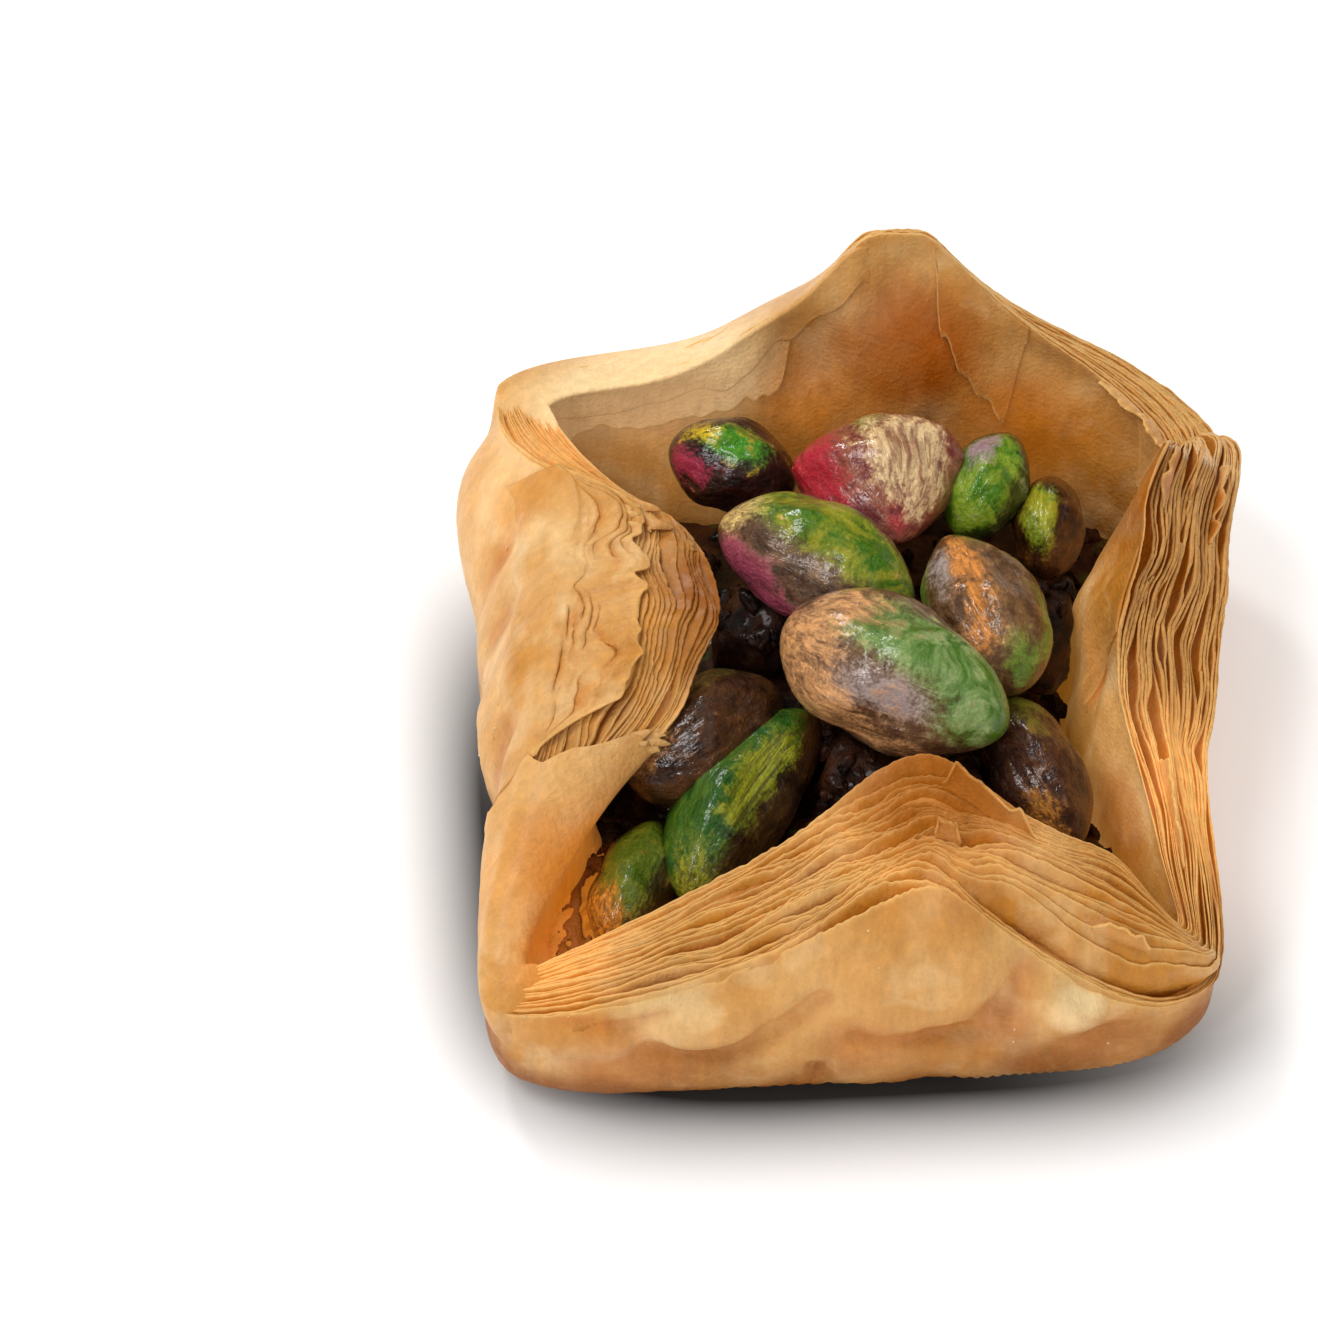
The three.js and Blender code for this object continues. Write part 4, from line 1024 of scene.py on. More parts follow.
def loose_piece(piece, rng):
    """A torn piece of sheet that leaves the stack and curls over."""
    columns = max(8, int((piece["span"][1] - piece["span"][0]) * 3))
    section, share, theta = along_span(piece, columns)
    window = np.clip(np.sin(math.pi * share) * 2.2, 0.25, 1)
    torn = 1 + piece["rag"] * (0.6 * ring_noise(theta, rng, (1, 4))
                               + 0.12 * ring_noise(theta, rng, (5, 11)))
    reach = piece["reach"] * window * np.clip(torn, 0.2, 1.6)
    v = np.linspace(0, 1, LOOSE_ROWS)[None, :]
    curl = math.radians(piece["curl"]) * (1 + 0.15 * ring_noise(theta, rng, (1, 3)))
    rise = reach * np.sin(curl * v) / curl
    aside = reach * (1 - np.cos(curl * v)) / curl
    travel = end_at(section, piece["depth"]) + piece["root"] + rise
    depth = piece["depth"] * stack_at(section, travel) + aside
    grid = sheet_point(section, travel, depth, piece["depth"])
    # Painted shade and glow at the flake's root, painted highlight at its torn edge.
    return grid, 0.5 * ease((0.45 - v * reach) / 0.5), 0.8 * bell((1 - v) * reach, 0.2)


def lining_piece(piece, rng):
    """The end of a sheet that hangs down from the rim, flat on the wall's inner face."""
    columns = int((piece["span"][1] - piece["span"][0]) * 3)
    section, share, theta = along_span(piece, columns)
    torn = piece["rag"] * (ring_noise(theta, rng, (1, 4)) + 0.4 * ring_noise(theta, rng, (5, 15)))
    window = ease(share / 0.15) * ease((1 - share) / 0.15)
    hang = (mix(*piece["hang"], share) + torn) * (0.1 + 0.9 * window)
    v = np.linspace(0, 1, LINING_ROWS)[None, :]
    travel = section["total"] - 0.15 - hang * v
    away = 0.16 * (1 + 0.5 * ring_noise(theta, rng, (1, 5)))
    lift = 0.10 + away * window * v ** 3
    lift = lift - face_relief(section, travel, 0.0, section["total"] + np.zeros((columns, 1)))
    grid = sheet_point(section, travel, -lift, 0.0)
    # Painted highlight along its lower edge.
    return grid, np.zeros_like(travel), 0.7 * bell((1 - v) * hang, 0.18)


def over_neighbours(level, choose):
    """Each station's level from those of its neighbours, so that a sheet bridges single steps."""
    padded = np.pad(level, ((COVER_BRIDGES, COVER_BRIDGES), (0, 0)), mode="edge")
    shifted = [padded[i:i + level.shape[0]] for i in range(2 * COVER_BRIDGES + 1)]
    return choose(shifted, axis=0)


def cover_piece(cover, layers, ends, rng):
    """The torn end of an outer sheet, draped over the ends of the sheets inside it."""
    first, last = (round(each * STATIONS / 360) for each in cover["span"])
    stations = np.arange(first, last + 1)
    share = np.linspace(0, 1, stations.size)[:, None]
    section = section_at(stations * 360 / STATIONS)
    theta = share * TAU
    torn = cover["rag"] * (ring_noise(theta, rng, (1, 5)) + 0.5 * ring_noise(theta, rng, (6, 16))
                           + 0.08 * ring_noise(theta, rng, (16, 34)))
    window = ease(share / 0.12) * ease((1 - share) / 0.12)
    across = np.clip((cover["across"] + torn) * window, 0.02, 0.95)
    up = np.linspace(0, 1, 14)[None, :-1]
    over = np.linspace(0, 1, 40)[None, :]
    none_up, none_over = (np.zeros((stations.size, part.size)) for part in (up, over))
    depth = np.hstack([none_up + 1, 1 - across * over])
    own_layers, own_ends = layers[stations], ends[stations]
    raised = own_ends.copy()
    raised[:, 1:] = np.maximum(raised[:, 1:], own_ends[:, :-1])
    level = np.stack([np.interp(depth[i], own_layers[i], raised[i])
                      for i in range(stations.size)])
    level = over_neighbours(over_neighbours(level, np.max), np.mean)
    groove = np.zeros_like(depth[:, up.size:])
    for _ in range(cover["grooves"]):
        middle = rng.uniform(0.15, 0.85) + 0.012 * ring_noise(theta, rng, (2, 7))
        length = bell(share - rng.uniform(0.1, 0.9), rng.uniform(0.04, 0.13))
        np.maximum(groove, length * bell(over - middle, 0.035), out=groove)
    stand = cover["stand"] * window * (1 + 0.3 * ring_noise(theta, rng, (3, 12)))
    lift = stand * ease(over * 5) * (1 + 0.6 * over ** 3) - GROOVE_DEEP * groove
    lower = np.hstack([cover["outside"] * (1 - up) + none_up, none_over])
    travel = level + np.hstack([none_up, lift]) - lower
    beyond = stand * np.hstack([ease(up / 0.5), 1 - ease(over / 0.3)])
    beyond = beyond - 0.5 * np.hstack([1 - ease(up / 0.4) + none_up, none_over])
    beyond = beyond + face_relief(section, travel, depth, own_ends)
    grid = sheet_point(section, travel, depth * stack_at(section, travel) + beyond, depth)
    # Painted highlight at the torn edge, painted shade and glow in the slits.
    edge = (1 - over) * across * stack_at(section, travel[:, -1:])
    rim = np.hstack([none_up, 0.6 * bell(edge, 0.15)])
    return grid, np.hstack([none_up, 0.75 * groove]), rim


def roll_piece(roll, rng):
    """The outer sheet where it rolls over the rim and down the inner face."""
    start, finish = roll["span"]
    share = np.linspace(0, 1, int((finish - start) * 3.5))
    arc = np.linspace(0, math.pi, 15)[None, 1:-1]
    outside = np.linspace(-roll["outside"], 0, 14)[None, :]
    inside = np.linspace(0, -roll["inside"], 22)[None, :]
    depth = np.hstack([np.ones_like(outside), (1 + np.cos(arc)) / 2, np.zeros_like(inside)])
    over = np.hstack([outside, roll["height"] * np.sin(arc), inside])
    stand = np.hstack([np.ones_like(outside), np.cos(arc), -np.ones_like(inside)])
    profile = np.linspace(0, TAU, depth.shape[1])[None, :]
    ragged = ring_noise(profile, rng, (1, 6)) + 0.5 * ring_noise(profile, rng, (7, 14))
    degrees = mix(start + roll["rag"] * ragged, finish, share[:, None])
    merge = ease((1 - share[:, None]) / roll["merge"][1])
    if roll["merge"][0]:
        merge = merge * ease(share[:, None] / roll["merge"][0])
    hem = 0.35 * ring_noise(share[:, None] * TAU, rng, (2, 12))
    rows = []
    for i in range(depth.shape[1]):
        section = section_at(degrees[:, i])
        travel = end_at(section, depth[0, i]) + over[0, i] - (1 - merge) * 1.6
        if over[0, i] < 0:
            travel = travel + hem * over[0, i] / roll["inside"]
        aside = stand[0, i] * mix(-0.5, roll["stand"], merge)
        if i < outside.size:
            aside = mix(-0.5, aside, ease(i / 9))
        ends = end_at(section, np.array([[0.0, 1.0]]))
        aside = aside + face_relief(section, travel, depth[0, i], ends)
        rows.append(sheet_point(section, travel,
                                depth[0, i] * stack_at(section, travel) + aside, depth[0, i]))
    grid = np.concatenate(rows, axis=1)
    return grid, np.zeros(grid.shape[:2]), np.zeros(grid.shape[:2])


class FiloSettings(bpy.types.PropertyGroup):
    """Colours of the pastry that a user would change."""
    pale: bpy.props.FloatVectorProperty(
        name="Pale", description="Where the pastry stayed cream", subtype="COLOR", size=3,
        default=linear("#e0aa66")[:3], min=0, max=1)
    golden: bpy.props.FloatVectorProperty(
        name="Golden", description="Where the pastry turned gold", subtype="COLOR", size=3,
        default=linear("#c8842c")[:3], min=0, max=1)
    # Also painted at the foot as shade.
    browned: bpy.props.FloatVectorProperty(
        name="Browned", description="Where the oven browned the tips", subtype="COLOR", size=3,
        default=linear("#9c5808")[:3], min=0, max=1)
    # Also painted into the outer face's creases as shade.
    amber: bpy.props.FloatVectorProperty(
        name="Amber", description="Where syrup soaked into the pastry", subtype="COLOR", size=3,
        default=linear("#b45a02")[:3], min=0, max=1)
    # Painted shade and warmth: the colour deep between the sheets.
    between: bpy.props.FloatVectorProperty(
        name="Between", description="Deep between the sheets", subtype="COLOR", size=3,
        default=linear("#bc6e14")[:3], min=0, max=1)
    # Strength of the painted glow: light that the pastry gives off itself, in place of light coming
    # through the sheets.
    glow: bpy.props.FloatProperty(
        name="Glow", description="How much light comes through the sheets", default=0.40, min=0,
        max=1)


class FiloOperator(bpy.types.Operator):
    """Makes the filo sheets: a pressed core and closed thin sheets that end at the rim"""
    bl_idname = "baklava.filo"
    bl_label = "Filo sheets"

    def execute(self, context):
        rng = np.random.default_rng(LAYOUT_SEED)
        section = section_at(np.arange(STATIONS) * 360 / STATIONS)
        layers, ends, opened = sheet_layout(section, rng)
        material = baked_filo(context.scene.baklava_filo)
        groups = {"filo_innermost_sheet": [0], "filo_outermost_sheet": [SHEETS - 1]}
        for first in range(1, SHEETS - 1, GROUP_SHEETS):
            last = min(first + GROUP_SHEETS, SHEETS - 1)
            groups[f"filo_sheets_{first}_to_{last - 1}"] = range(first, last)
        for name, sheets in groups.items():
            parts = []
            for sheet in sheets:
                band, values = sheet_band(section, layers, ends, opened, sheet, rng)
                parts.append((band.reshape(-1, 3), ring_faces(*band.shape[:2]), values))
            pastry_object(name, parts, material)
        self.core(section, layers, ends, opened, material)
        for name, make, rows in (
                ("filo_torn_flakes", loose_piece, LOOSE), ("filo_linings", lining_piece, LININGS),
                ("filo_torn_covers", lambda row, rng: cover_piece(row, layers, ends, rng), COVERS),
                ("filo_rolled_edges", roll_piece, ROLLS)):
            parts = []
            for row, (grid, hidden, rim) in zip(rows, [make(row, rng) for row in rows]):
                values = filo_attributes(grid, hidden, rim, row["tone"], rng)
                both = {key: np.tile(np.ravel(value), 2) for key, value in values.items()}
                parts.append((*shell_parts(grid, SHEET_THICK), both))
            pastry_object(name, parts, material)
        return {"FINISHED"}

    def core(self, section, layers, ends, opened, material):
        every = slice(None, None, 2)
        fewer = {key: value[every] for key, value in section.items()}
        rows, hidden = core_points(fewer, layers[every], ends[every], opened[every])
        stations, profile = rows.shape[:2]
        s, p = np.meshgrid(np.arange(stations), np.arange(profile - 1), indexing="ij")
        s_next = (s + 1) % stations
        quads = np.stack([s * profile + p, s_next * profile + p, s_next * profile + p + 1,
                          s * profile + p + 1], axis=-1).reshape(-1, 4)
        middle = [[0, 0, CORE_INSET], [0, 0, FLOOR_THICK - CORE_INSET]]
        points = np.vstack([rows.reshape(-1, 3), middle])
        values = {key: np.zeros(len(points)) for key in ("browned", "soaked", "rim", "tone")}
        made = mesh_object("filo_core", points, quads, material,
                           {"hidden": np.append(hidden, (CORE_PAINTED_GAP_LIGHT, CORE_PAINTED_GAP_LIGHT)), **values})
        around = np.arange(stations)
        beside = (around + 1) % stations
        low, high = np.full(stations, len(points) - 2), np.full(stations, len(points) - 1)
        close_with(made.data, np.vstack([
            np.stack([low, beside * profile, around * profile], 1),
            np.stack([high, (around + 1) * profile - 1, (beside + 1) * profile - 1], 1)]))
        is_pastry(made)


def close_with(mesh, triangles):
    """Adds triangles between points that the mesh already has."""
    loops, faces = len(mesh.loops), len(mesh.polygons)
    mesh.loops.add(triangles.size)
    mesh.polygons.add(len(triangles))
    for i, corner in enumerate(triangles.ravel()):
        mesh.loops[loops + i].vertex_index = int(corner)
    for i in range(len(triangles)):
        mesh.polygons[faces + i].loop_start = loops + 3 * i
        mesh.polygons[faces + i].use_smooth = True
    mesh.update(calc_edges=True)


# ------------------------------------------------------------------------------ the kernels

def shape_rule(name, inputs):
    """A new tree of a shape, its inputs as kinds with their names, and what they give."""
    tree = bpy.data.node_groups.new(name, "GeometryNodeTree")
    for kind, names in inputs:
        for each in names.split():
            tree.interface.new_socket(each, in_out="INPUT", socket_type="NodeSocket" + kind)
    tree.interface.new_socket("Geometry", in_out="OUTPUT", socket_type="NodeSocketGeometry")
    return tree, {each.name: each for each in tree.nodes.new("NodeGroupInput").outputs}


def kernel_tree():
    """The rule of a kernel's shape: an egg-shaped body drawn to a point at both ends, with a
    keel, soft lumps, a sideways bend and a skin wrinkled along its length."""
    tree, given = shape_rule("Pistachio kernel", (
        ("Float", "Length Width Thickness Taper Point Bend Phase Wrinkle"), ("Vector", "Place"),
        ("Rotation", "Turn"), ("Int", "Rings"), ("Material", "Material")))
    segments = add(tree, "ShaderNodeMath", (given["Rings"], 1.5), operation="MULTIPLY")
    ball = add(tree, "GeometryNodeMeshUVSphere", {"Segments": segments, "Rings": given["Rings"],
                                                  "Radius": 1.0})
    parts = tree.nodes.new("ShaderNodeSeparateXYZ")
    tree.links.new(add(tree, "GeometryNodeInputPosition"), parts.inputs[0])
    side, upper, along = parts.outputs
    local = add(tree, "ShaderNodeCombineXYZ", (along, side, upper))
    ball = add(tree, "GeometryNodeStoreNamedAttribute",
               {"Geometry": ball, "Name": "kernel_place", "Value": local},
               data_type="FLOAT_VECTOR", domain="POINT")
    # Wrinkles run along the kernel, so their pattern is stretched that way.
    stretched = add(tree, "ShaderNodeVectorMath", (local, (1.0, 2.2, 2.2)), operation="MULTIPLY")
    apart = add(tree, "ShaderNodeCombineXYZ", (given["Phase"], 3.7, 1.3))
    stretched = add(tree, "ShaderNodeVectorMath", (stretched, apart), operation="ADD")
    creased = add(tree, "ShaderNodeTexNoise", {"Vector": stretched, "Scale": 1.5, "Detail": 4.0,
                                               "Roughness": 0.6, "Distortion": 0.5})
    known = dict(given, along=along, side=side, upper=upper, creased=creased)
    for name, operation, *terms in (
            ("around", "ARCTAN2", "upper", "side"),
            ("squared", "MULTIPLY", "along", "along"),
            ("body", "SUBTRACT", 1.0, "squared"),
            # A keel along the top.
            ("turned", "SUBTRACT", "around", math.pi / 2),
            ("turned", "DIVIDE", "turned", KEEL_WIDTH),
            ("turned", "MULTIPLY", "turned", "turned"),
            ("turned", "MULTIPLY", "turned", -1.0),
            ("keel", "EXPONENT", "turned"),
            ("keel", "MULTIPLY", "keel", KERNEL_KEEL),
            # Soft lumps and wrinkles that fade out at the ends.
            ("wave", "MULTIPLY_ADD", "along", LUMPS_ALONG, "Phase"),
            ("wave", "MULTIPLY_ADD", "around", LUMPS_AROUND, "wave"),
            ("wave", "SINE", "wave"),
            ("lumps", "MULTIPLY_ADD", "wave", KERNEL_LUMPS, "keel"),
            ("creased", "SUBTRACT", "creased", 0.5),
            ("creased", "MULTIPLY_ADD", "creased", "Wrinkle", "lumps"),
            ("swell", "MULTIPLY_ADD", "creased", "body", 1.0),
            # The taper and the points at the ends.
            ("narrow", "MULTIPLY", "Taper", "along"),
            ("narrow", "SUBTRACT", 1.0, "narrow"),
            ("point", "MULTIPLY", "squared", "squared"),
            ("point", "MULTIPLY", "point", "Point"),
            ("point", "SUBTRACT", 1.0, "point"),
            ("girth", "MULTIPLY", "narrow", "point"),
            ("girth", "MULTIPLY", "girth", "swell"),
            ("bend", "SUBTRACT", "body", 0.5),
            ("bend", "MULTIPLY", "bend", "Bend"),
            ("half_length", "MULTIPLY", "Length", 0.5),
            ("half_width", "MULTIPLY", "Width", 0.5),
            ("half_thick", "MULTIPLY", "Thickness", 0.5),
            ("x", "MULTIPLY", "along", "half_length"),
            ("y", "MULTIPLY", "side", "girth"),
            ("y", "MULTIPLY_ADD", "y", "half_width", "bend"),
            ("z", "MULTIPLY", "upper", "girth"),
            ("z", "MULTIPLY", "z", "half_thick")):
        known[name] = add(tree, "ShaderNodeMath", [known.get(each, each) for each in terms],
                          operation=operation)
    shaped = add(tree, "ShaderNodeCombineXYZ", [known[axis] for axis in "xyz"])
    made = add(tree, "GeometryNodeSetPosition", {"Geometry": ball, "Position": shaped})
    made = add(tree, "GeometryNodeTransform", {"Geometry": made, "Translation": given["Place"],
                                               "Rotation": given["Turn"]})
    made = add(tree, "GeometryNodeSetShadeSmooth", {"Geometry": made})
    made = add(tree, "GeometryNodeRealizeInstances", {"Geometry": made})
    made = add(tree, "GeometryNodeSetMaterial", {"Geometry": made,
                                                 "Material": given["Material"]})
    add(tree, "NodeGroupOutput", {"Geometry": made})
    return tree


def grown(name, tree, values, surface=None):
    """Runs a tree with named inputs and gives its result as an object with a plain mesh."""
    start = surface or bpy.data.meshes.new(name + "_rule")
    holder = bpy.data.objects.new(name + "_rule", start)
    bpy.context.scene.collection.objects.link(holder)
    rule = holder.modifiers.new(name, "NODES")
    rule.node_group = tree
    sockets = {item.name: item.identifier for item in tree.interface.items_tree
               if item.item_type == "SOCKET" and item.in_out == "INPUT"}
    for key, value in values.items():
        rule[sockets[key]] = value
    depsgraph = bpy.context.evaluated_depsgraph_get()
    mesh = bpy.data.meshes.new_from_object(holder.evaluated_get(depsgraph))
    mesh.name = name
    bpy.data.objects.remove(holder)
    if not mesh.polygons:
        raise RuntimeError(name + " came out empty")
    made = bpy.data.objects.new(name, mesh)
    bpy.context.scene.collection.objects.link(made)
    return made


def grow_kernel(name, kernel, tree, material, rings):
    at, size, turn, taper, bend = kernel
    yaw, pitch, roll = (math.radians(angle) for angle in turn)
    place = (np.array(at) + NEST_SHIFT) * MM
    return grown(name, tree, {
        "Length": size[0] * MM, "Width": size[1] * MM, "Thickness": size[2] * MM,
        "Taper": taper, "Point": POINTED.get(name.removesuffix("_kernel"), KERNEL_POINT),
        "Bend": bend * MM, "Phase": at[0], "Wrinkle": KERNEL_WRINKLE,
        "Place": tuple(place), "Turn": (roll, -pitch, yaw), "Rings": rings,
        "Material": material})


# Skin, deep skin, flesh, bright flesh, dry ridge and blush of each kernel. The greyish lilac blush of
# the centre and right kernels is a painted highlight.
KERNEL_COLOURS = {
    "pistachio_centre": ("#94704e", "#5c3c26", "#427212", "#90a862", "#dca066", "#a8948e"),
    "pistachio_right": ("#90683e", "#5a3a1e", "#567a1c", "#7c9430", "#e08e3c", "#a89890"),
    "pistachio_upper_left": ("#8c6a4a", "#503624", "#427006", "#969816", "#ecc878", "#a8485e"),
    "pistachio_back": ("#a86a48", "#7a2c28", "#7a8a30", "#8f9a3c", "#e8c690", "#b41c30"),
    "pistachio_back_green": ("#4a5a1a", "#24300c", "#487c06", "#8aa622", "#b09c62", "#a48a90"),
    "pistachio_back_left": ("#40180f", "#180806", "#3f8a08", "#3f8a08", "#e0c010", "#a02048"),
    "pistachio_left": ("#5c3410", "#2c1608", "#50440c", "#6c6414", "#c4864a", "#6a321c"),
    "pistachio_green": ("#4e3208", "#241606", "#24560c", "#4a6e12", "#929414", "#5a3410"),
    "pistachio_lower_right": ("#5e3212", "#2a1208", "#56560e", "#6e7416", "#c88636", "#6a2018"),
    "pistachio_back_right": ("#6a3a0c", "#2c1404", "#7c8a12", "#a8a418", "#b07020", "#6a2c14"),
    "pistachio_front_left": ("#54400c", "#302008", "#4c6408", "#6e7810", "#d08420", "#7a4010"),
}

# Patches on each kernel: what shows, the way to the patch's middle (along, sideways, up), its reach as
# a share of the kernel's half size, and how much. The blush patches of the centre and right kernels are
# painted highlights.
PATCHES = {
    "pistachio_centre": (
        ("flesh", (0.1, 0.25, 0.95), 0.50, 1.0), ("flesh", (0.6, 0.3, 0.8), 0.62, 1.0),
        ("flesh", (1.0, -0.1, 0.4), 0.60, 1.0), ("ridge", (-0.85, -0.30, 0.4), 0.50, 1.0),
        ("ridge", (-0.6, 0.3, 0.75), 0.32, 1.0), ("ridge", (-0.45, -0.9, 0.2), 0.45, 0.9),
        ("ridge", (0.1, -1.0, 0.1), 0.25, 0.7), ("blush", (0.05, -0.65, 0.75), 0.30, 0.75)),
    "pistachio_right": (
        ("ridge", (-0.8, -0.1, 0.6), 0.22, 1.0), ("ridge", (-0.35, -0.2, 0.9), 0.22, 1.0),
        ("ridge", (0.1, -0.3, 0.95), 0.20, 0.9), ("ridge", (0.45, -0.4, 0.8), 0.16, 0.8),
        ("flesh", (0.5, 0.8, 0.3), 0.35, 1.0), ("flesh", (0.9, 0.1, 0.4), 0.30, 1.0),
        ("flesh", (-0.4, -0.9, 0.2), 0.30, 0.7), ("blush", (-0.5, -0.6, 0.65), 0.26, 0.9)),
    "pistachio_upper_left": (
        ("flesh", (-0.5, 0.3, 0.85), 0.45, 1.0), ("flesh", (0.1, 0.1, 1.0), 0.55, 1.0),
        ("flesh", (0.7, 0.0, 0.7), 0.55, 1.0), ("ridge", (-0.9, 0.0, 0.45), 0.32, 1.0),
        ("blush", (-0.65, -0.75, 0.1), 0.40, 1.0), ("blush", (-0.2, -0.9, -0.3), 0.40, 0.9)),
    "pistachio_back": (
        ("blush", (-0.2, -0.85, 0.5), 0.45, 1.0), ("blush", (0.5, -0.8, 0.3), 0.40, 0.8),
        ("blush", (0.85, 0.1, 0.5), 0.30, 0.7), ("ridge", (0.0, 0.35, 0.95), 0.55, 1.0),
        ("ridge", (0.5, 0.5, 0.7), 0.40, 1.0), ("flesh", (-0.5, 0.0, 0.85), 0.28, 0.8)),
    "pistachio_back_green": (
        ("flesh", (-0.3, 0.0, 0.95), 0.9, 1.0), ("flesh", (-0.7, 0.5, 0.4), 0.6, 1.0),
        ("blush", (0.35, 0.3, 0.85), 0.32, 1.0)),
    "pistachio_back_left": (
        ("flesh", (-0.05, -0.15, 1.0), 0.35, 1.0), ("ridge", (-0.55, 0.0, 0.85), 0.24, 1.0),
        ("blush", (-0.65, -0.65, 0.4), 0.35, 1.0)),
    "pistachio_left": (
        ("ridge", (-0.55, 0.6, 0.6), 0.30, 0.7), ("ridge", (-0.8, 0.1, 0.5), 0.35, 0.9),
        ("flesh", (0.2, 0.6, 0.7), 0.5, 0.6)),
    "pistachio_green": (
        ("flesh", (0.1, 0.3, 0.95), 0.95, 1.0), ("flesh", (-0.7, 0.5, 0.4), 0.6, 1.0),
        ("ridge", (0.1, -0.35, 0.9), 0.38, 0.9), ("ridge", (-0.9, 0.0, 0.4), 0.35, 0.8),
        ("blush", (0.8, -0.5, 0.3), 0.4, 0.9)),
    "pistachio_lower_right": (
        ("flesh", (-0.8, 0.2, 0.6), 0.45, 0.9), ("ridge", (0.75, -0.5, 0.6), 0.26, 0.9)),
    "pistachio_back_right": (("flesh", (-0.2, 0.3, 0.95), 0.5, 1.0),),
    "pistachio_front_left": (
        ("flesh", (0.2, 0.1, 0.9), 0.8, 0.9), ("ridge", (-0.8, 0.3, 0.4), 0.55, 1.0)),
}


def paint_patches(made, patches):
    """Writes how much flesh, blush with its painted highlights, and dry ridge shows at each point of a
    kernel.
    """
    mesh = made.data
    local = np.zeros(len(mesh.vertices) * 3, np.float32)
    mesh.attributes["kernel_place"].data.foreach_get("vector", local)
    local = local.reshape(-1, 3)
    amounts = {key: np.zeros(len(local)) for key in ("flesh", "blush", "ridge")}
    for key, way, reach, amount in patches:
        middle = np.array(way) / np.linalg.norm(way)
        away = np.linalg.norm((local - middle) * (0.7, 1, 1), axis=1)
        near = amount * ease((reach + PATCH_FADE - away) / (2 * PATCH_FADE))
        amounts[key] = np.maximum(amounts[key], near)
    for key, values in amounts.items():
        layer = mesh.attributes.new(key, "FLOAT", "POINT")
        layer.data.foreach_set("value", values.astype(np.float32))


class KernelOperator(bpy.types.Operator):
    """Grows the whole pistachio kernels and paints where their skin has rubbed off"""
    bl_idname = "baklava.kernels"
    bl_label = "Pistachio kernels"

    def execute(self, context):
        tree = kernel_tree()
        for name, kernel in KERNELS.items():
            plain = name.removeprefix("pistachio_").replace("_", " ")
            material = kernel_skin(f"Syruped pistachio skin, {plain}", KERNEL_COLOURS[name])
            made = grow_kernel(name + "_kernel", kernel, tree, material, KERNEL_RINGS)
            paint_patches(made, PATCHES[name])
            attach(made, "root")
            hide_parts(name)
        return {"FINISHED"}


def chopping_tree():
    """The rule of the chopped nuts and crumbs: lumpy grains strewn over what faces up."""
    tree, given = shape_rule("Strewn crumbs", (
        ("Geometry", "Surface"), ("Float", "Density Grain Steepest"), ("Int", "Seed"),
        ("Material", "Material")))
    facing = tree.nodes.new("ShaderNodeSeparateXYZ")
    tree.links.new(add(tree, "GeometryNodeInputNormal"), facing.inputs[0])
    upward = add(tree, "FunctionNodeCompare", (facing.outputs[2], given["Steepest"]),
                 data_type="FLOAT", operation="GREATER_THAN")
    places = add(tree, "GeometryNodeDistributePointsOnFaces",
                 {"Mesh": given["Surface"], "Selection": upward, "Density": given["Density"],
                  "Seed": given["Seed"]})
    grain = add(tree, "GeometryNodeMeshIcoSphere", {"Radius": 0.5, "Subdivisions": 3})
    lumps = add(tree, "ShaderNodeTexNoise", {"Scale": 2.2, "Detail": 2.0}, out=1)
    lumps = add(tree, "ShaderNodeVectorMath", (lumps, (0.5, 0.5, 0.5)), operation="SUBTRACT")
    grain = add(tree, "GeometryNodeSetPosition", {"Geometry": grain, "Offset": lumps})
    turn, size = (
        add(tree, "FunctionNodeRandomValue", {0: least, 1: most, "Seed": seed},
            data_type="FLOAT_VECTOR")
        for least, most, seed in (((0, 0, 0), (TAU, TAU, TAU), 3),
                                  ((0.5, 0.4, 0.3), (1.5, 1.1, 0.8), 4)))
    size = add(tree, "ShaderNodeVectorMath", {0: size, "Scale": given["Grain"]},
               operation="SCALE")
    strewn = add(tree, "GeometryNodeInstanceOnPoints", {"Points": places, "Instance": grain,
                                                        "Rotation": turn, "Scale": size})
    strewn = add(tree, "GeometryNodeRealizeInstances", {"Geometry": strewn})
    strewn = add(tree, "GeometryNodeSetShadeSmooth", {"Geometry": strewn})
    strewn = add(tree, "GeometryNodeSetMaterial", {"Geometry": strewn,
                                                   "Material": given["Material"]})
    add(tree, "NodeGroupOutput", {"Geometry": strewn})
    return tree


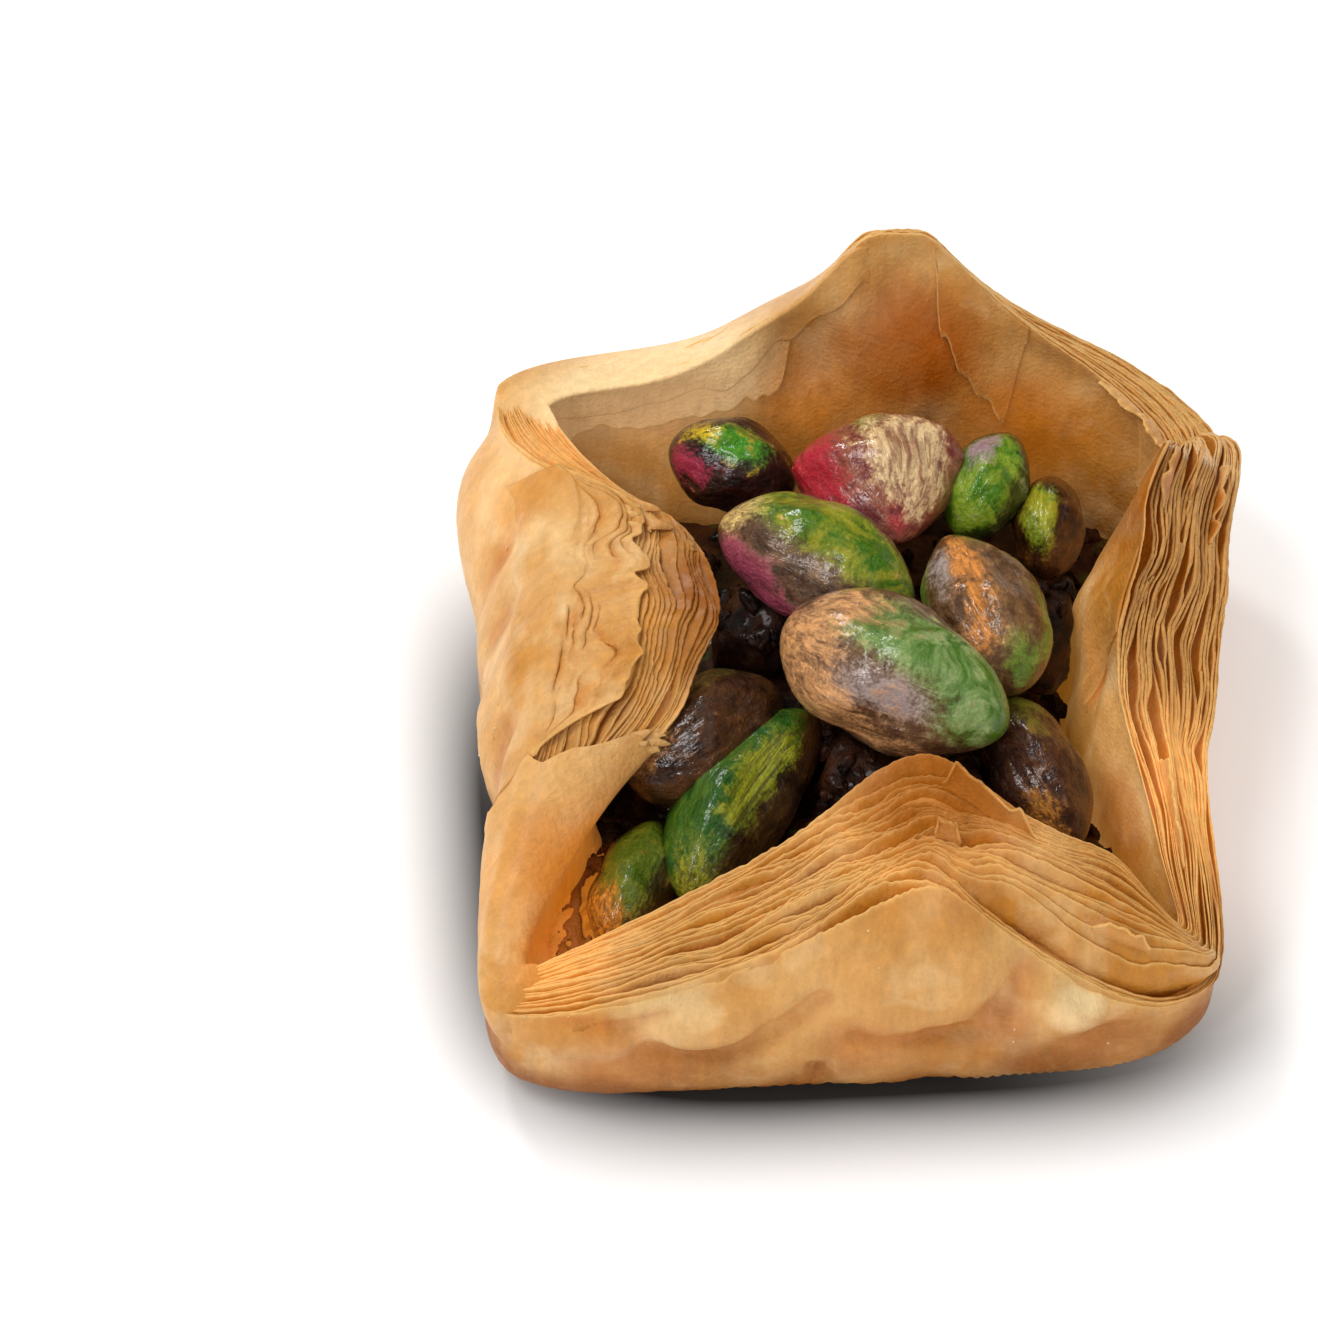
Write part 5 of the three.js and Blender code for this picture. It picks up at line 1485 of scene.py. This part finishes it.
def heap_mesh(node, voxel, lump):
    """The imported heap's own form, with its facets melted into soft lumps."""
    whole = bmesh.new()
    whole.from_mesh(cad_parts[node].data)
    bmesh.ops.remove_doubles(whole, verts=whole.verts, dist=0.001 * MM)
    merged = bpy.data.meshes.new(node + "_merged")
    whole.to_mesh(merged)
    whole.free()
    holder = bpy.data.objects.new(node + "_merged", merged)
    bpy.context.scene.collection.objects.link(holder)
    remesh = holder.modifiers.new("melt", "REMESH")
    remesh.mode = "VOXEL"
    remesh.voxel_size = voxel
    smooth = holder.modifiers.new("soften", "SMOOTH")
    smooth.factor = 0.5
    smooth.iterations = 4
    mesh = bpy.data.meshes.new_from_object(
        holder.evaluated_get(bpy.context.evaluated_depsgraph_get()))
    bpy.data.objects.remove(holder)
    count = len(mesh.vertices)
    points, normals = np.zeros(count * 3, np.float32), np.zeros(count * 3, np.float32)
    mesh.vertices.foreach_get("co", points)
    mesh.vertex_normals.foreach_get("vector", normals)
    points, normals = points.reshape(-1, 3).astype(float), normals.reshape(-1, 3)
    rng = np.random.default_rng(BED_SEED)
    rough = 0.6 * space_noise(points, rng, 2.6 * MM) + 0.4 * space_noise(points, rng, 1.0 * MM)
    points += normals * (lump * np.clip(rough, -1.5, 1.5))[:, None]
    mesh.vertices.foreach_set("co", points.astype(np.float32).ravel())
    mesh.polygons.foreach_set("use_smooth", np.ones(len(mesh.polygons), bool))
    mesh.update()
    return mesh


class BedOperator(bpy.types.Operator):
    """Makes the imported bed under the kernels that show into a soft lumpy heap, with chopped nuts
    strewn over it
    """
    bl_idname = "baklava.bed"
    bl_label = "Bed of kernels"

    def execute(self, context):
        material = syruped_chopped_nuts()
        mesh = heap_mesh("nut_bed", BED_GRID * MM, BED_ROUGH * MM)
        mesh.materials.clear()
        mesh.materials.append(material)
        bed = bpy.data.objects.new("nut_bed_heap", mesh)
        context.scene.collection.objects.link(bed)
        chopped = grown("nut_bed_chopped", chopping_tree(), {
            "Density": CHOPPED_DENSITY, "Grain": CHOPPED_GRAIN * MM, "Steepest": 0.3,
            "Seed": 5, "Material": material}, mesh)
        for made in (bed, chopped):
            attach(made, "root")
            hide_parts("nut_bed")
        return {"FINISHED"}


class CrumbOperator(bpy.types.Operator):
    """Strews pastry crumbs over the sheets"""
    bl_idname = "baklava.crumbs"
    bl_label = "Crumbs"

    def execute(self, context):
        tree = bpy.data.node_groups["Strewn crumbs"]
        material = pastry_crumb()
        sheet = bpy.data.objects["filo_outermost_sheet"].data
        crumbs = grown("filo_crumbs", tree, {
            "Density": CRUMB_DENSITY, "Grain": CRUMB_GRAIN * MM, "Steepest": -0.1,
            "Seed": 8, "Material": material}, sheet)
        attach(crumbs, "root")
        return {"FINISHED"}


# -------------------------------------------------------------------------------- the stage

# Each light's name, its place and its width in metres.
LIGHTS = (
    ("key", (-0.26, -0.06, 0.62), 0.24), ("fill", (0.30, -0.34, 0.50), 0.34),
    ("back", (-0.20, 0.42, 0.50), 0.13), ("glint", (-0.34, -0.40, 0.46), 0.12),
)
TABLE_REACH = 3.0       # half the table's width in metres


class StageSettings(bpy.types.PropertyGroup):
    """Light on the nest."""
    key_power: bpy.props.FloatProperty(
        name="Key light", description="Power of the large light overhead",
        default=1.25, min=0, unit="POWER")
    fill_power: bpy.props.FloatProperty(
        name="Fill light", description="Power of the light from the right",
        default=0.12, min=0, unit="POWER")
    glint_power: bpy.props.FloatProperty(
        name="Glint light", description="Power of the small light that shines in the syrup",
        default=0.58, min=0, unit="POWER")
    back_power: bpy.props.FloatProperty(
        name="Back light", description="Power of the light from behind",
        default=1.0, min=0, unit="POWER")
    world_strength: bpy.props.FloatProperty(
        name="Surroundings", description="Strength of the white surroundings", default=0.60,
        min=0)


class StageOperator(bpy.types.Operator):
    """Sets the white table, the soft lights and the camera"""
    bl_idname = "baklava.stage"
    bl_label = "Table, lights and camera"

    def execute(self, context):
        settings = context.scene.baklava_stage
        floor = bpy.data.meshes.new("table")
        floor.from_pydata([(x * TABLE_REACH, y * TABLE_REACH, 0) for x, y in
                           ((-1, -1), (1, -1), (1, 1), (-1, 1))], [], [(0, 1, 2, 3)])
        floor.materials.append(pale_table())
        table = bpy.data.objects.new("table", floor)
        context.scene.collection.objects.link(table)
        for name, place, size in LIGHTS:
            self.light(name, place, size, getattr(settings, name + "_power"))
        world = bpy.data.worlds.new("White surroundings")
        world.use_nodes = True
        background = world.node_tree.nodes["Background"]
        background.inputs["Color"].default_value = (1, 1, 1, 1)
        background.inputs["Strength"].default_value = settings.world_strength
        # Only the lamps shine in the syrup, as in a dark studio.
        world.cycles_visibility.glossy = False
        context.scene.world = world
        context.scene.view_settings.view_transform = "Standard"
        self.camera(context)
        return {"FINISHED"}

    def light(self, name, place, size, power):
        lamp = bpy.data.lights.new(name, "AREA")
        lamp.shape = "DISK"
        lamp.size = size
        lamp.energy = power
        made = bpy.data.objects.new(name, lamp)
        made.location = place
        made.rotation_euler = (-Vector(place)).to_track_quat("-Z", "Y").to_euler()
        bpy.context.scene.collection.objects.link(made)

    def camera(self, context):
        turn, rise = math.radians(VIEW_TURN), math.radians(VIEW_RISE)
        back = Vector((math.sin(turn) * math.cos(rise), -math.cos(turn) * math.cos(rise),
                       math.sin(rise)))
        right = Vector((math.cos(turn), math.sin(turn), 0))
        up = back.cross(right)
        off_x, off_y = (pixel - IMAGE / 2 for pixel in VIEW_MIDDLE_PIXEL)
        target = (Vector(VIEW_MIDDLE) + Vector(NEST_SHIFT) - right * off_x / PIXELS_PER_MM
                  + up * off_y / PIXELS_PER_MM)
        made = bpy.data.objects.new("camera", bpy.data.cameras.new("camera"))
        made.data.sensor_width = SENSOR
        made.data.lens = SENSOR * PIXELS_PER_MM * VIEW_DISTANCE / IMAGE
        made.data.clip_start = 0.01
        made.matrix_world = (Matrix.Translation((target + back * VIEW_DISTANCE) * MM)
                             @ Matrix((right, up, back)).transposed().to_4x4())
        context.scene.collection.objects.link(made)
        context.scene.camera = made


class BaklavaPanel(bpy.types.Panel):
    """Lists the nest's pieces in the sidebar"""
    bl_idname = "VIEW3D_PT_baklava"
    bl_label = "Baklava nest"
    bl_space_type = "VIEW_3D"
    bl_region_type = "UI"
    bl_category = "Baklava"

    def draw(self, context):
        for operator in OPERATORS:
            self.layout.operator(operator.bl_idname)
        for settings in (context.scene.baklava_filo, context.scene.baklava_stage):
            for key in settings.__annotations__:
                self.layout.prop(settings, key)


OPERATORS = (FiloOperator, KernelOperator, BedOperator, CrumbOperator, StageOperator)
CLASSES = (FiloSettings, StageSettings, *OPERATORS, BaklavaPanel)


def register():
    for each in CLASSES:
        bpy.utils.register_class(each)
    bpy.types.Scene.baklava_filo = bpy.props.PointerProperty(type=FiloSettings)
    bpy.types.Scene.baklava_stage = bpy.props.PointerProperty(type=StageSettings)


def unregister():
    del bpy.types.Scene.baklava_stage
    del bpy.types.Scene.baklava_filo
    for each in reversed(CLASSES):
        bpy.utils.unregister_class(each)


def main():
    register()
    bpy.ops.baklava.filo()
    bpy.ops.baklava.kernels()
    bpy.ops.baklava.bed()
    bpy.ops.baklava.crumbs()
    bpy.ops.baklava.stage()


if __name__ == "__main__":
    main()
